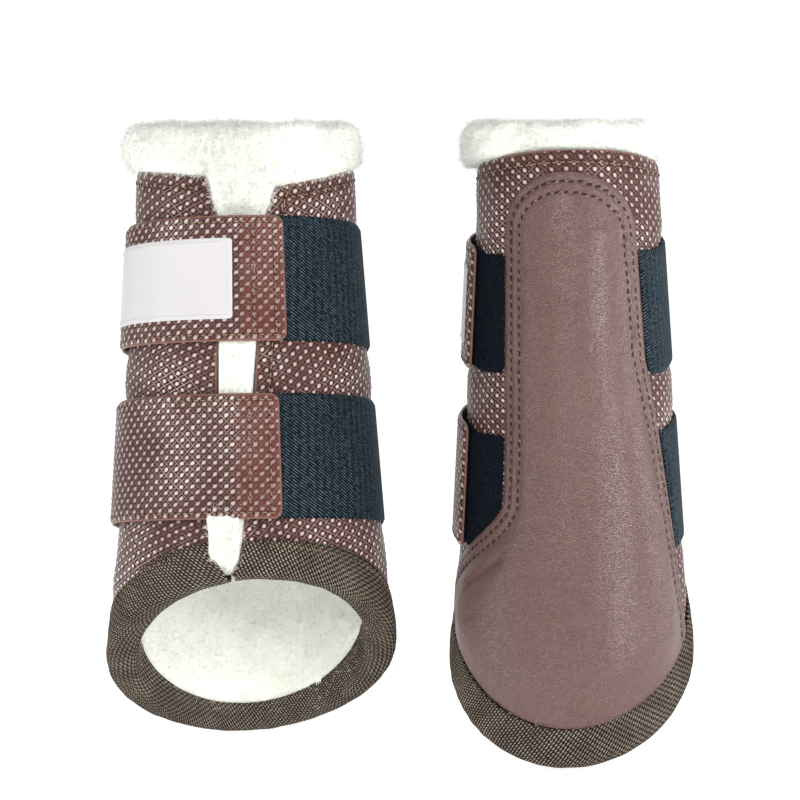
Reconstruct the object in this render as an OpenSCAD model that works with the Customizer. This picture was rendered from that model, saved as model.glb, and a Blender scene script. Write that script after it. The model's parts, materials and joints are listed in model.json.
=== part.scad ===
// A pair of fleece-lined tendon boots for a horse's legs, in millimetres.
// Each boot is a slanted, tapering tube that wraps round the leg. It closes at the front with two straps,
// and a stitched pad guards the tendon and the fetlock at the back.
// The right boot shows its closure towards -Y. The left boot is its mirror image and shows its pad there.
// The origin is on the right boot's leg axis, at the middle of its round leg cavity.

/* [Boot shape] */
// Height of the shell's top edge at the sides, above the lowest point of the rim
shell_top = 242; // [232:1:256]
// Extra height of the top edge at the back
back_rise = 8; // [0:0.5:12]
// Mean radius of the shell at its top edge at the back
top_radius = 38.6; // [38:0.1:44]
// Mean radius of the shell at the lowest point of the rim
rim_radius = 54.3; // [50:0.1:62]
// Shape of the taper, where 1 is a straight cone
taper_power = 1.05; // [1:0.05:1.4]
// How much higher the rim is at the front than at the back
rim_slant = 77; // [60:1:80]
// How far the rim's highest point is turned from the front towards the elastic side, in degrees
rim_turn = 5; // [0:1:8]
// Width of the right boot, as a share of the mean radius
right_width_share = 1.14; // [1:0.005:1.16]
// Depth of the right boot, as a share of the mean radius
right_depth_share = 0.93; // [0.92:0.01:1.05]
// Width of the left boot, as a share of the mean radius
left_width_share = 0.945; // [0.925:0.005:1.05]
// Depth of the left boot, as a share of the mean radius
left_depth_share = 1.04; // [0.95:0.01:1.1]
// Distance between the two leg axes
boot_spacing = 134.5; // [130:0.5:240]

/* [Layers] */
// Thickness of the outer shell
shell_wall = 1.5; // [1:0.1:2]
// Thickness of the foam between the shell and the lining
padding_wall = 3; // [2:0.1:4]
// Clearance between layers that lie on each other
layer_gap = 0.3; // [0.3:0.05:0.5]
// Height of the fleece roll above the shell's top edge
collar_height = 20.5; // [14:0.5:26]
// How far the right boot's fleece roll stands out past the shell
right_overhang = 5.5; // [2:0.5:8]
// How much further it stands out on the strap-end side than on the elastic side
right_lean = 1; // [0:0.1:2]
// How far the left boot's fleece roll stands out past the shell
left_overhang = 4; // [2:0.5:8]
// How much further it stands out on the strap-end side than on the elastic side
left_lean = 3.5; // [0:0.1:4]
// Thickness of the fleece where it ends in the binding
fleece_at_rim = 5; // [3:0.5:6]
// Thickness of the fleece round the fetlock
fleece_wall = 8; // [6:0.5:10]

/* [Leg cavity] */
// Radius of the round leg cavity between the fleece walls
leg_radius = 26; // [24:0.5:27]
// Height where the round leg cavity begins
leg_bottom = 155; // [145:1:165]
// Length of the round leg cavity
leg_length = 92; // [60:1:94]

/* [Front gap] */
// Angle of half the gap between the shell's edges, at the top of the upper strap
gap_half_angle = 13.6; // [10:0.2:16]
// Angle of half the gap below the lower strap
gap_half_low = 7; // [4:0.5:9]
// Angle by which the gap leans towards the strap ends from the top to the rim
gap_lean = 8; // [4:0.5:12]
// How far above the upper strap the shell's corners end beside the gap
corner_clearance = 1.2; // [1:0.1:6]

/* [Binding] */
// Width of the woven binding, on the outside of the rim
binding_width = 15; // [10:0.5:20]
// Thickness of the binding tape
binding_wall = 1.2; // [0.8:0.1:1.6]
// How far the rolled binding stands out at its middle
binding_bulge = 1.3; // [0.3:0.1:2]
// Height of the rounded fold under the rim
binding_fold = 3; // [2:0.5:4]

/* [Strike pad] */
// Height of the top of the pad's arch
pad_top = 241; // [225:1:243]
// Height of the arch at the pad's top
pad_arch = 24; // [15:1:36]
// Angle from the back centre to the pad's edge on the strap-end side
pad_half_tab = 39.5; // [35:0.5:46]
// Angle from the back centre to the pad's edge on the elastic side
pad_half_elastic = 45; // [38:0.5:50]
// Angle from the back centre to the pad's edge at the fetlock, on the strap-end side
pad_low_tab = 88; // [75:1:92]
// Angle from the back centre to the pad's edge at the fetlock, on the elastic side
pad_low_elastic = 70; // [60:1:85]
// Height up to which the pad's sides stand upright
pad_lean_start = 135; // [120:5:160]
// Angle by which the pad's arch leans over to the strap-end side
pad_lean = 5.5; // [0:0.5:8]
// Height where the pad begins to widen on the strap-end side
pad_sweep_top = 108; // [100:1:116]
// Height over which it widens there
pad_sweep = 38; // [30:1:46]
// Height where the pad begins to widen on the elastic side
pad_widen_top = 165; // [140:1:180]
// Thickness of the pad's cover
pad_wall = 1.4; // [1:0.1:2]
// Height of the foam insert's bulge under the cover
pad_bulge = 4.5; // [2:0.1:6]

/* [Straps] */
// Width of each strap
strap_width = 50; // [42:0.5:52]
// Height of the upper strap's middle
upper_height = 197.5; // [190:0.5:200]
// Height of the lower strap's middle
lower_height = 125.5; // [123:0.5:130]
// How far each strap of the right boot is sewn above that height
right_strap_shift = 2.3; // [-3:0.1:3]
// How far each strap of the left boot is sewn above that height
left_strap_shift = -3; // [-3:0.1:3]
// How far the upper strap dips at the sides, as a straight band on a cone does
upper_dip = 6; // [0:0.5:8]
// How far the lower strap dips at the sides
lower_dip = 7; // [0:0.5:8]
// Angle from the front to the seam between the upper elastic and its tab
upper_seam = 19.5; // [10:0.5:22]
// Angle from the front to the seam between the lower elastic and its tab
lower_seam = 15; // [10:0.5:22]
// Angle from the front to the free end of each tab
tab_end = 110; // [95:1:118]
// Thickness of the elastic
elastic_wall = 1.5; // [1:0.1:2]
// Thickness of the loop strips
loop_wall = 0.8; // [0.6:0.1:1.2]
// Thickness of the hook strips
hook_wall = 0.7; // [0.6:0.1:1.2]
// Thickness of the tabs
tab_wall = 1.5; // [1:0.1:2.2]
// Length of each hook strip, as an angle
hook_angle = 50; // [30:1:60]
// How much narrower each hook or loop strip is than the strap, on each edge
strip_inset = 1.2; // [0.5:0.1:3]

/* [Label] */
// Height of the bare label on the upper tab
label_height = 32.5; // [20:0.5:38]
// Angle from the front to the label's near edge
label_start = 4.5; // [3:0.5:20]
// Angle from the front to the label's far edge
label_end = 102; // [60:1:104]
// Thickness of the label
label_wall = 0.4; // [0.3:0.1:0.8]

/* [Hidden] */
PIECES = ["shell", "padding", "fleece_lining", "rim_binding", "strike_pad", "pad_insert",
          "upper_elastic", "upper_loop", "upper_tab", "upper_hook", "label",
          "lower_elastic", "lower_loop", "lower_tab", "lower_hook"];

shell_brown = [0.41, 0.2, 0.16];
pad_brown = [0.5, 0.38, 0.35];
fleece_white = [0.95, 0.95, 0.9];
binding_brown = [0.4, 0.34, 0.29];
elastic_navy = [0.06, 0.11, 0.18];
foam_grey = [0.25, 0.25, 0.27];

// What differs between the boots: the width, the depth and how far the straps are shifted up.
right_boot = [right_width_share, right_depth_share, right_strap_shift];
left_boot = [left_width_share, left_depth_share, left_strap_shift];
leg_middle = leg_bottom + leg_length / 2;
angle_step = 9;
strap_row_count = 4;

// Depths of the layers below the shell's outer face, which is at 0.
padding_outside = -shell_wall - layer_gap;
padding_inside = padding_outside - padding_wall;
fleece_outside = padding_inside - layer_gap;
// Heights of the strap's layers above the shell's outer face.
loop_top = layer_gap + loop_wall;
hook_bottom = loop_top + layer_gap;
hook_top = hook_bottom + hook_wall;
tab_bottom = hook_top + layer_gap;
tab_top = tab_bottom + tab_wall;
label_bottom = tab_top + layer_gap;

function mix(a, b, t) = a + (b - a) * t;
function clamp(x) = max(0, min(1, x));
function smooth(x) = let (t = clamp(x)) t * t * (3 - 2 * t);
function steps(n) = [for (i = [0:n]) i / n];
function counts(n) = [for (i = [0:n]) i];

// Mean radius of the shell at a height.
crown = shell_top + back_rise;
function taper(z) = top_radius + (rim_radius - top_radius) * pow(clamp((crown - z) / crown), taper_power);

// A point of a boot. a is the angle from the front towards the elastic, z the height,
// and d the distance outside the shell's outer face.
function at(boot, a, z, d) =
    [(boot.x * taper(z) + d) * sin(a), -(boot.y * taper(z) + d) * cos(a), z];
// A point on a round cylinder about the leg axis.
function round_at(a, z, r) = [r * sin(a), -r * cos(a), z];

// The slanted rim, and the height on it of a tape that is sewn square to it.
function rim(a) = rim_slant * (1 + cos(a - rim_turn)) / 2;
side_slope = 1.3 * rim_slant / (2 * rim_radius);
function binding_height(a) = binding_width * sqrt(1 + pow(side_slope * sin(a - rim_turn), 2));

// The two edges of the front gap, which comes to a point at the rim.
strap_line = upper_height + strap_width / 2 + max(right_strap_shift, left_strap_shift);
gap_point = 24;
function up_gap(z) = clamp((z - rim_slant) / (strap_line - rim_slant));
function gap_middle(z) = -gap_lean * (1 - up_gap(z));
function gap_half(z) = mix(gap_half_low, gap_half_angle, pow(up_gap(z), 1.7))
    * mix(0.2, 1, clamp((z - rim_slant) / gap_point));
function gap_elastic(z) = gap_middle(z) + gap_half(z);
function gap_tab(z) = gap_middle(z) - gap_half(z);
// Angle at share u of the way round the shell, from the elastic's edge of the gap to the tabs' edge.
function round_angle(u, z) = mix(gap_elastic(z), 360 + gap_tab(z), u);

// The shell's top edge, which is cut down beside the gap to the upper strap.
corner_tab_angle = 9;
corner_elastic_angle = 14;
corner_drop = shell_top - strap_line - corner_clearance;
function from_gap(a) = a < 180 ? clamp((a - gap_half_angle) / corner_elastic_angle)
    : clamp((360 - gap_half_angle - a) / corner_tab_angle);
function top_edge(a) = shell_top + back_rise * pow((1 - cos(a)) / 2, 2)
    - corner_drop * pow(1 - from_gap(a), 2.5);

// The solid between an outer and an inner face. Each face is a function of a place u along and v up,
// and a closed one runs round to its start. Each of its quads is cut along the diagonal that turns less
// about the leg, so that the flat halves stay close to the round form.
module sheet(us, vs, outer, inner, closed = false) {
    nu = len(us);
    nv = len(vs);
    half = nu * nv;
    last = closed ? nu - 1 : nu - 2;
    points = concat([for (v = vs) for (u = us) outer(u, v)], [for (v = vs) for (u = us) inner(u, v)]);
    function o(i, j) = j * nu + i % nu;
    function n(i, j) = half + o(i, j);
    function across(k, l) = norm([points[k].x - points[l].x, points[k].y - points[l].y]);
    function rising(i, j) = across(o(i, j), o(i + 1, j + 1)) <= across(o(i + 1, j), o(i, j + 1));
    function halves(a, b, c, d, rises) = rises ? [[a, b, c], [a, c, d]] : [[a, b, d], [b, c, d]];
    faces = concat(
        [for (i = [0:last]) for (j = [0:nv - 2]) each concat(
            halves(o(i, j), o(i, j + 1), o(i + 1, j + 1), o(i + 1, j), rising(i, j)),
            halves(n(i + 1, j), n(i + 1, j + 1), n(i, j + 1), n(i, j), !rising(i, j)))],
        [for (i = [0:last]) each [
            [o(i, 0), o(i + 1, 0), n(i + 1, 0)], [o(i, 0), n(i + 1, 0), n(i, 0)],
            [o(i + 1, nv - 1), o(i, nv - 1), n(i, nv - 1)],
            [o(i + 1, nv - 1), n(i, nv - 1), n(i + 1, nv - 1)]]],
        closed ? [] : [for (j = [0:nv - 2]) each [
            [o(0, j + 1), o(0, j), n(0, j)], [o(0, j + 1), n(0, j), n(0, j + 1)],
            [o(nu - 1, j), o(nu - 1, j + 1), n(nu - 1, j + 1)],
            [o(nu - 1, j), n(nu - 1, j + 1), n(nu - 1, j)]]]);
    polyhedron(points, faces);
}

// The layers stop this far above the rim, on the floor of the binding's fold.
layer_floor = 2 * binding_wall;
// The foam ends this far inside the shell's edges.
padding_inset = 2;

// A layer of the wall that is open at the front gap, between two depths.
// Its edges are drawn in by a distance from the shell's own edges.
module wall_layer(boot, d_out, d_in, inset, rows) {
    inset_angle = inset / top_radius * 180 / PI;
    function face(u, v, d) = let (
        low = rim(round_angle(u, rim_slant)) + layer_floor,
        high = top_edge(round_angle(u, shell_top)) - inset,
        z = mix(low, high, v),
        a = mix(gap_elastic(z) + inset_angle, 360 + gap_tab(z) - inset_angle, u))
        at(boot, a, z, d);
    sheet(steps(360 / angle_step), steps(rows),
          function(u, v) face(u, v, d_out), function(u, v) face(u, v, d_in));
}

module shell(boot) color(shell_brown) wall_layer(boot, 0, -shell_wall, 0, 7);

module padding(boot) color(foam_grey) wall_layer(boot, padding_outside, padding_inside, padding_inset, 5);

// How far the fleece swells forward between the edges of the front gap, to this depth below the shell's face.
gap_depth = 1;
swell_start_angle = 4.5;
swell_rise_angle = 3;
function signed(a) = a > 180 ? a - 360 : a;
function swell(a, z) = let (inside = min(gap_elastic(z) - signed(a), signed(a) - gap_tab(z)))
    (-fleece_outside - gap_depth) * smooth((inside - swell_start_angle) / swell_rise_angle)
    * clamp((z - rim_slant) / gap_point);

// How far the roll stands out. It stands upright at the back, where the shell's edge shows.
roll_upright = -2.5;
function roll_share(a) = smooth((150 - abs(signed(a))) / 40);
function roll_out(roll, a) = mix(roll_upright, roll.x - roll.y * sin(a), roll_share(a));
// Depths of the roll's foot beside the gap, and of its crown.
roll_foot = -0.5;
roll_crown = -1;
// How much lower than the roll its outer crown is, and how far the roll's faces lean in towards it.
crown_drop = 1;
crown_lean = 4;
face_lean = 0.5;

// Radius of the fleece's inner face below the round leg cavity, for a width or depth share.
cavity_flare = 50;
cavity_step = 0.6;
// The cavity is first made this much narrower, so that the drill that rounds it leaves a wall all round.
drill_stock = 2;
drill_overrun = 1;
// How much wider than the leg the lining is above the cavity and at the top of the roll.
mouth_low = 2;
mouth_high = 5;
function cavity(share, z, thickness) = mix(leg_radius + cavity_step,
                                           share * taper(z) + fleece_outside - thickness,
                                           smooth((leg_bottom - z) / cavity_flare));

module fleece_lining(boot, roll) {
    collar_low = leg_bottom + leg_length;
    top = shell_top + collar_height;
    // The outer face climbs the padding, steps out over the shell's top edge and rolls over.
    function outside(a) = let (
        low = rim(a) + layer_floor,
        high = top_edge(a) + layer_gap,
        out = roll_out(roll, a))
        concat([for (t = steps(5)) let (z = mix(low, high, t)) at(boot, a, z, fleece_outside + swell(a, z))],
               [at(boot, a, high, mix(roll_foot, 0.75 * out, from_gap(a))),
                at(boot, a, mix(high, top, 0.35), out),
                at(boot, a, mix(high, top, 0.75), out - face_lean),
                at(boot, a, top - crown_drop, min(out - crown_lean, roll_crown))]);
    // The inner face widens below the leg cavity and rounds over at the top of the roll.
    function hollow(a, z, thickness) =
        [cavity(boot.x, z, thickness) * sin(a), -cavity(boot.y, z, thickness) * cos(a), z];
    function inside(a) = let (low = rim(a) + layer_floor, band = low + binding_height(a))
        [hollow(a, low, fleece_at_rim),
         hollow(a, band, fleece_at_rim),
         hollow(a, mix(band, leg_bottom, 0.4), fleece_wall),
         hollow(a, mix(band, leg_bottom, 0.7), fleece_wall),
         round_at(a, leg_bottom, leg_radius + cavity_step),
         round_at(a, leg_bottom, leg_radius - drill_stock),
         round_at(a, collar_low, leg_radius - drill_stock),
         round_at(a, collar_low, leg_radius + cavity_step),
         round_at(a, mix(collar_low, top, 0.7), leg_radius + mouth_low),
         round_at(a, top, leg_radius + mouth_high)];
    front_angles = [for (a = [-28:4:40]) a < 0 ? a + 360 : a];
    side_angles = [for (i = [1:27]) mix(40, 332, i / 28)];
    color(fleece_white) difference() {
        sheet(concat(front_angles, side_angles), counts(9),
              function(a, v) outside(a)[v], function(a, v) inside(a)[v], closed = true);
        translate([0, 0, leg_bottom - drill_overrun])
            cylinder(r = leg_radius, h = leg_length + 2 * drill_overrun, $fn = 96);
    }
}

// Woven tape folded over the rim. Its section runs up the inside, under the rim and up the outside,
// each point a depth and a height above the rim.
module rim_binding(boot) {
    inner_face = fleece_outside - fleece_at_rim;
    inner_share = 0.8;
    function section(h) = [
        [inner_face - 5 * layer_gap, inner_share * h],
        [inner_face - 3 * layer_gap, binding_fold],
        [inner_face - layer_gap, 0],
        [layer_gap, 0],
        [binding_bulge, binding_fold],
        [binding_bulge, h / 2],
        [1.5 * layer_gap, h]];
    outward = [[-1, 0], [-1, -0.3], [-0.4, -0.9], [0.4, -0.9], [1, -0.3], [1, 0], [1, 0]];
    function face(u, v, wall) = let (
        a = round_angle(u, rim_slant + binding_fold),
        p = section(binding_height(a))[v] + wall * outward[v],
        z = rim(a) + binding_wall + p.y)
        at(boot, round_angle(u, max(z, rim_slant)), z, p.x);
    color(binding_brown) sheet(steps(360 / angle_step), counts(6),
          function(u, v) face(u, v, binding_wall), function(u, v) face(u, v, 0));
}

// Place on the strike pad. u runs from the elastic side to the strap-end side, v from the rim to the arch.
pad_widen = pad_widen_top - rim_slant / 2 - binding_width;
function pad_middle(z) = pad_lean * clamp((z - pad_lean_start) / (pad_top - pad_lean_start));
function pad_side_elastic(z) = mix(pad_half_elastic, pad_low_elastic, clamp((pad_widen_top - z) / pad_widen));
function pad_side_tab(z) = mix(pad_half_tab, pad_low_tab, smooth((pad_sweep_top - z) / pad_sweep));
function pad_edge_elastic(z) = pad_side_elastic(z) - pad_middle(z);
function pad_edge_tab(z) = pad_side_tab(z) + pad_middle(z);
function arch(z) = sqrt(max(0.02, 1 - pow(clamp((z - pad_top + pad_arch) / pad_arch), 2)));
pad_column_count = 20;
pad_row_count = 22;
// The sweep takes the lowest share of v and the arch the highest, where equal steps go round its curve.
sweep_share = 9 / pad_row_count;
arch_share = 8 / pad_row_count;
function pad_height(low, v) = let (straight = 1 - sweep_share - arch_share)
    v < sweep_share ? mix(low, pad_sweep_top, v / sweep_share)
    : v < 1 - arch_share ? mix(pad_sweep_top, pad_top - pad_arch, (v - sweep_share) / straight)
    : pad_top - pad_arch * (1 - cos(90 * (1 - v) / arch_share));
function pad_place(u, v) = let (
        low_angle = mix(180 - pad_low_elastic, 180 + pad_low_tab, u),
        low = rim(low_angle) + binding_height(low_angle) + binding_wall + 2 * layer_gap,
        z = pad_height(low, v),
        turn = mix(-pad_side_elastic(z), pad_side_tab(z), u))
    [180 + pad_middle(z) + turn * arch(z), z];
function pad_swell(u, v) = pad_bulge * smooth((u - 0.1) / 0.2) * smooth((0.9 - u) / 0.2)
    * smooth((v + 0.03) / 0.15) * smooth((0.8 - v) / 0.2);
function pad_at(boot, u, v, d) = let (p = pad_place(u, v)) at(boot, p.x, p.y, d);

module strike_pad(boot) color(pad_brown)
    sheet(steps(pad_column_count), steps(pad_row_count),
          function(u, v) pad_at(boot, u, v, layer_gap + pad_wall + pad_swell(u, v)),
          function(u, v) pad_at(boot, u, v, layer_gap + pad_swell(u, v)));

// The foam insert fills the bulge under the pad's cover.
module pad_insert(boot) color(foam_grey)
    sheet([for (i = [4:16]) i / pad_column_count], [for (i = [2:15]) i / pad_row_count],
          function(u, v) pad_at(boot, u, v, pad_swell(u, v)),
          function(u, v) pad_at(boot, u, v, min(layer_gap, pad_swell(u, v) / 2)));

// A band of a strap from an angle to another, where a negative angle is on the tabs' side.
// The end is a function of the height, so that the band can follow the pad's edge.
// trim is how much narrower it is than the strap, on each edge.
module strap_band(boot, height, dip, start, end, d_in, d_out, trim = 0, rows = strap_row_count) {
    middle = height + boot.z;
    half = strap_width / 2 - trim;
    count = max(2, round(abs(end(middle) - start) / angle_step));
    function height_at(a, v) = middle - dip * pow(min(abs(a), 120) / 90, 2) + mix(-half, half, v);
    function face(u, v, d) = let (a = mix(start, end(height_at(end(middle), v)), u))
        at(boot, a, height_at(a, v), d);
    // A band that runs towards the tabs is turned round, so that its faces still point outwards.
    us = end(middle) > start ? steps(count) : [for (i = [0:count]) 1 - i / count];
    sheet(us, steps(rows), function(u, v) face(u, v, d_out), function(u, v) face(u, v, d_in));
}

// The straps end this angle before the pad's edges.
pad_clearance_angle = 2;
stop_at_pad_elastic = function(z) 180 - pad_edge_elastic(z) - pad_clearance_angle;
stop_at_pad_tab = function(z) pad_edge_tab(z) + pad_clearance_angle - 180;
// The elastic starts this angle beyond the seam, the loop strip this angle beyond the hook strip's start,
// and the hook strip ends this angle before the tab does.
seam_gap_angle = 0.6;
loop_start_angle = 4;
hook_end_angle = 1;

module elastic(boot, height, dip, seam) color(elastic_navy)
    strap_band(boot, height, dip, seam + seam_gap_angle, stop_at_pad_elastic,
               layer_gap, layer_gap + elastic_wall);
module loop(boot, height, dip) color(elastic_navy)
    strap_band(boot, height, dip, hook_angle - tab_end + loop_start_angle, stop_at_pad_tab,
               layer_gap, loop_top, strip_inset, 2 * strap_row_count);
module hook(boot, height, dip) color(elastic_navy)
    strap_band(boot, height, dip, hook_angle - tab_end, function(z) hook_end_angle - tab_end,
               hook_bottom, hook_top, strip_inset);
module tab(boot, height, dip, seam) color(shell_brown)
    strap_band(boot, height, dip, seam, function(z) -tab_end, tab_bottom, tab_top);
module label(boot) color("white")
    strap_band(boot, upper_height, upper_dip, -label_start, function(z) -label_end, label_bottom,
               label_bottom + label_wall, (strap_width - label_height) / 2);

module piece(name, boot, roll) {
    if (name == "shell") shell(boot);
    if (name == "padding") padding(boot);
    if (name == "fleece_lining") fleece_lining(boot, roll);
    if (name == "rim_binding") rim_binding(boot);
    if (name == "strike_pad") strike_pad(boot);
    if (name == "pad_insert") pad_insert(boot);
    if (name == "upper_elastic") elastic(boot, upper_height, upper_dip, upper_seam);
    if (name == "upper_loop") loop(boot, upper_height, upper_dip);
    if (name == "upper_tab") tab(boot, upper_height, upper_dip, upper_seam);
    if (name == "upper_hook") hook(boot, upper_height, upper_dip);
    if (name == "label") label(boot);
    if (name == "lower_elastic") elastic(boot, lower_height, lower_dip, lower_seam);
    if (name == "lower_loop") loop(boot, lower_height, lower_dip);
    if (name == "lower_tab") tab(boot, lower_height, lower_dip, lower_seam);
    if (name == "lower_hook") hook(boot, lower_height, lower_dip);
}

for (name = PIECES) {
    translate([0, 0, -leg_middle]) piece(name, right_boot, [right_overhang, right_lean]);
    translate([boot_spacing, 0, -leg_middle]) mirror([0, 1, 0])
            piece(name, left_boot, [left_overhang, left_lean]);
}
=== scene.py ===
"""Finishes a pair of fleece-lined tendon boots: embossed leather, pile, woven tape, elastic and stitching.

Each boot is described by an angle round the leg, a height above the rim's lowest point, and a distance
outside the shell's outer face. Leather is cut flat, as on a cutting table, and then wrapped on that form.
"""

import json
import math

import bpy
import numpy as np
from bpy.props import FloatProperty, FloatVectorProperty, IntProperty, PointerProperty
from bpy.types import Operator, Panel, PropertyGroup
from mathutils import Matrix, Vector


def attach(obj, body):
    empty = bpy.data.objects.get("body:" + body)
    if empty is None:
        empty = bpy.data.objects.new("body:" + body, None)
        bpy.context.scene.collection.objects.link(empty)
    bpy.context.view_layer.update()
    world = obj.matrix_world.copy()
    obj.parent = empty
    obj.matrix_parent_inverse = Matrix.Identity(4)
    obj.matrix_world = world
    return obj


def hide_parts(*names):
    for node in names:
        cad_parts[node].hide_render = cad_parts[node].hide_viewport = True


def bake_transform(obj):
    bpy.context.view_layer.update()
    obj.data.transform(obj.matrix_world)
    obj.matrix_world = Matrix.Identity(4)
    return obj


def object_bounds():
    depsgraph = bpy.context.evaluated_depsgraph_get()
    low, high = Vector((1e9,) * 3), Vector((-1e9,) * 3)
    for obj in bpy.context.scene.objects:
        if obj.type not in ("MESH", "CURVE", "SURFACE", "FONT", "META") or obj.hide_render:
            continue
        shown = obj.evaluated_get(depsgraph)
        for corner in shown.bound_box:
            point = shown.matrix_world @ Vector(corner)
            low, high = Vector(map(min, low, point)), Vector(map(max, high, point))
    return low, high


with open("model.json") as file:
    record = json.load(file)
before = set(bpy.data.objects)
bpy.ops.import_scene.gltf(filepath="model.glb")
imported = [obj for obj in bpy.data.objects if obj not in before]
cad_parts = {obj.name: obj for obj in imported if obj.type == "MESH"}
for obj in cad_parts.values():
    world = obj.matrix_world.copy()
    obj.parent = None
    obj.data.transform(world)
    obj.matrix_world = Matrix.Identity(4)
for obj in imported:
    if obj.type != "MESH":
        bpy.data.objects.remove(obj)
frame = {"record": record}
CAD_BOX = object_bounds()

bl_info = {
    "name": "Tendon Boots",
    "version": (1, 0, 0),
    "blender": (4, 5, 0),
    "location": "View3D > Sidebar > Boots",
    "description": "Builds the finished surfaces of a pair of tendon boots round their packed solids",
    "category": "Object",
}

SIDES = ("right", "left")
STRAPS = ("upper", "lower")
PI = math.pi
MM = 0.001


# Sizes and colours

def length(name, millimetres, description):
    return FloatProperty(name=name, description=description, default=millimetres * MM, unit="LENGTH",
                         precision=5)


def angle(name, degrees, description):
    return FloatProperty(name=name, description=description, default=math.radians(degrees),
                         subtype="ANGLE")


def share(name, value, description):
    return FloatProperty(name=name, description=description, default=value)


def colour(name, value, description):
    return FloatVectorProperty(name=name, description=description, default=value, size=3,
                               subtype="COLOR", min=0.0, max=1.0)


class BootForm(PropertyGroup):
    """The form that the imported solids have, so that every finished layer lies on it."""
    shell_top: length("Shell height", 242, "Height of the shell's top edge at the sides")
    back_rise: length("Back rise", 8, "Extra height of the top edge at the back")
    top_radius: length("Top radius", 38.6, "Mean radius of the shell at its top edge")
    rim_radius: length("Rim radius", 54.3, "Mean radius of the shell at the rim's lowest point")
    taper_power: share("Taper", 1.05, "Shape of the taper, where 1 is a straight cone")
    rim_slant: length("Rim slant", 77, "How much higher the rim is at the front than at the back")
    rim_turn: angle("Rim turn", 5, "How far the rim's highest point is turned towards the elastic")
    right_width: share("Right width", 1.14, "Width of the right boot as a share of the mean radius")
    right_depth: share("Right depth", 0.93, "Depth of the right boot as a share of the mean radius")
    left_width: share("Left width", 0.945, "Width of the left boot as a share of the mean radius")
    left_depth: share("Left depth", 1.04, "Depth of the left boot as a share of the mean radius")
    gap_half_angle: angle("Gap at the top", 13.6, "Half the front gap at the upper strap")
    gap_half_low: angle("Gap at the rim", 7, "Half the front gap below the lower strap")
    gap_lean: angle("Gap lean", 8, "How far the gap leans towards the strap ends at the rim")
    gap_point: length("Gap point", 24, "Height over which the gap closes to a point at the rim")
    corner: angle("Corner", 5, "How far round the shell each corner beside the gap's top reaches")
    corner_radius: length("Corner radius", 4.5, "Rounding of those corners")
    flap_slope: length("Flap slope", 6, "How far the elastic side's top edge falls towards the gap")
    leg_radius: length("Leg radius", 26, "Radius of the round leg cavity")
    leg_bottom: length("Leg cavity", 155, "Height where the round leg cavity begins")
    collar_height: length("Collar height", 20.5, "Height of the fleece roll above the shell")
    right_overhang: length("Right overhang", 5.5, "How far the right boot's fleece roll stands out")
    right_lean: length("Right lean", 1, "How much further it stands out on the tabs' side")
    left_overhang: length("Left overhang", 4, "How far the left boot's fleece roll stands out")
    left_lean: length("Left lean", 3.5, "How much further it stands out on the tabs' side")
    binding_width: length("Binding width", 15, "Width of the tape on the outside of the rim")
    binding_wall: length("Binding thickness", 1.2, "Thickness of the binding tape")


class PadSizes(PropertyGroup):
    """The strike pad's outline and its bulge."""
    top: length("Pad top", 241, "Height of the top of the pad's arch")
    arch: length("Arch", 24, "Height of the arch")
    half_tab: angle("Tab side", 39.5, "Angle from the back to the pad's edge on the strap-end side")
    half_elastic: angle("Elastic side", 45, "Angle from the back to its edge on the elastic side")
    low_tab: angle("Low tab side", 88, "The same at the fetlock, on the strap-end side")
    low_elastic: angle("Low elastic side", 70, "The same at the fetlock, on the elastic side")
    lean_start: length("Upright part", 135, "Height up to which the pad's sides stand upright")
    lean: angle("Lean", 5.5, "How far the pad's arch leans over to the strap-end side")
    sweep_top: length("Sweep top", 108, "Height where the pad widens on the strap-end side")
    sweep: length("Sweep", 38, "Height over which it widens there")
    widen_top: length("Widening", 165, "Height where the pad widens on the elastic side")
    wall: length("Cover thickness", 1.4, "Thickness of the pad's cover")
    bulge: length("Bulge", 4.5, "How far the foam lifts the cover")


class StrapSizes(PropertyGroup):
    """Both boots' straps, and the depths at which their layers lie."""
    width: length("Strap width", 50, "Width of each strap")
    upper_height: length("Upper strap", 197.5, "Height of the upper strap's middle")
    lower_height: length("Lower strap", 125.5, "Height of the lower strap's middle")
    right_shift: length("Right shift", 2.3, "How far the right boot's straps are sewn above that height")
    left_shift: length("Left shift", -3, "How far the left boot's straps are sewn above that height")
    upper_dip: length("Upper dip", 6, "How far the upper strap dips at the sides")
    lower_dip: length("Lower dip", 7, "How far the lower strap dips at the sides")
    upper_seam: angle("Upper seam", 19.5, "Angle from the front to the upper elastic's seam with its tab")
    lower_seam: angle("Lower seam", 15, "Angle from the front to the lower elastic's seam with its tab")
    tab_end: angle("Tab end", 110, "Angle from the front to the tab's free end")
    hook: angle("Hook strip", 50, "Length of the hook strip")
    strip_inset: length("Strip inset", 1.2, "How much narrower a hook or loop strip is on each edge")
    layer_gap: length("Layer gap", 0.3, "Clearance between layers that lie on each other")
    elastic_wall: length("Elastic thickness", 1.5, "Thickness of the elastic")
    loop_wall: length("Loop thickness", 0.8, "Thickness of the loop strip")
    hook_wall: length("Hook thickness", 0.7, "Thickness of the hook strip")
    tab_wall: length("Tab thickness", 1.5, "Thickness of the tab")
    label_height: length("Label height", 32.5, "Height of the bare label")
    label_start: angle("Label start", 4.5, "Angle from the front to the label's near edge")
    label_end: angle("Label end", 102, "Angle from the front to the label's far edge")
    label_wall: length("Label thickness", 0.4, "Thickness of the label")


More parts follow.
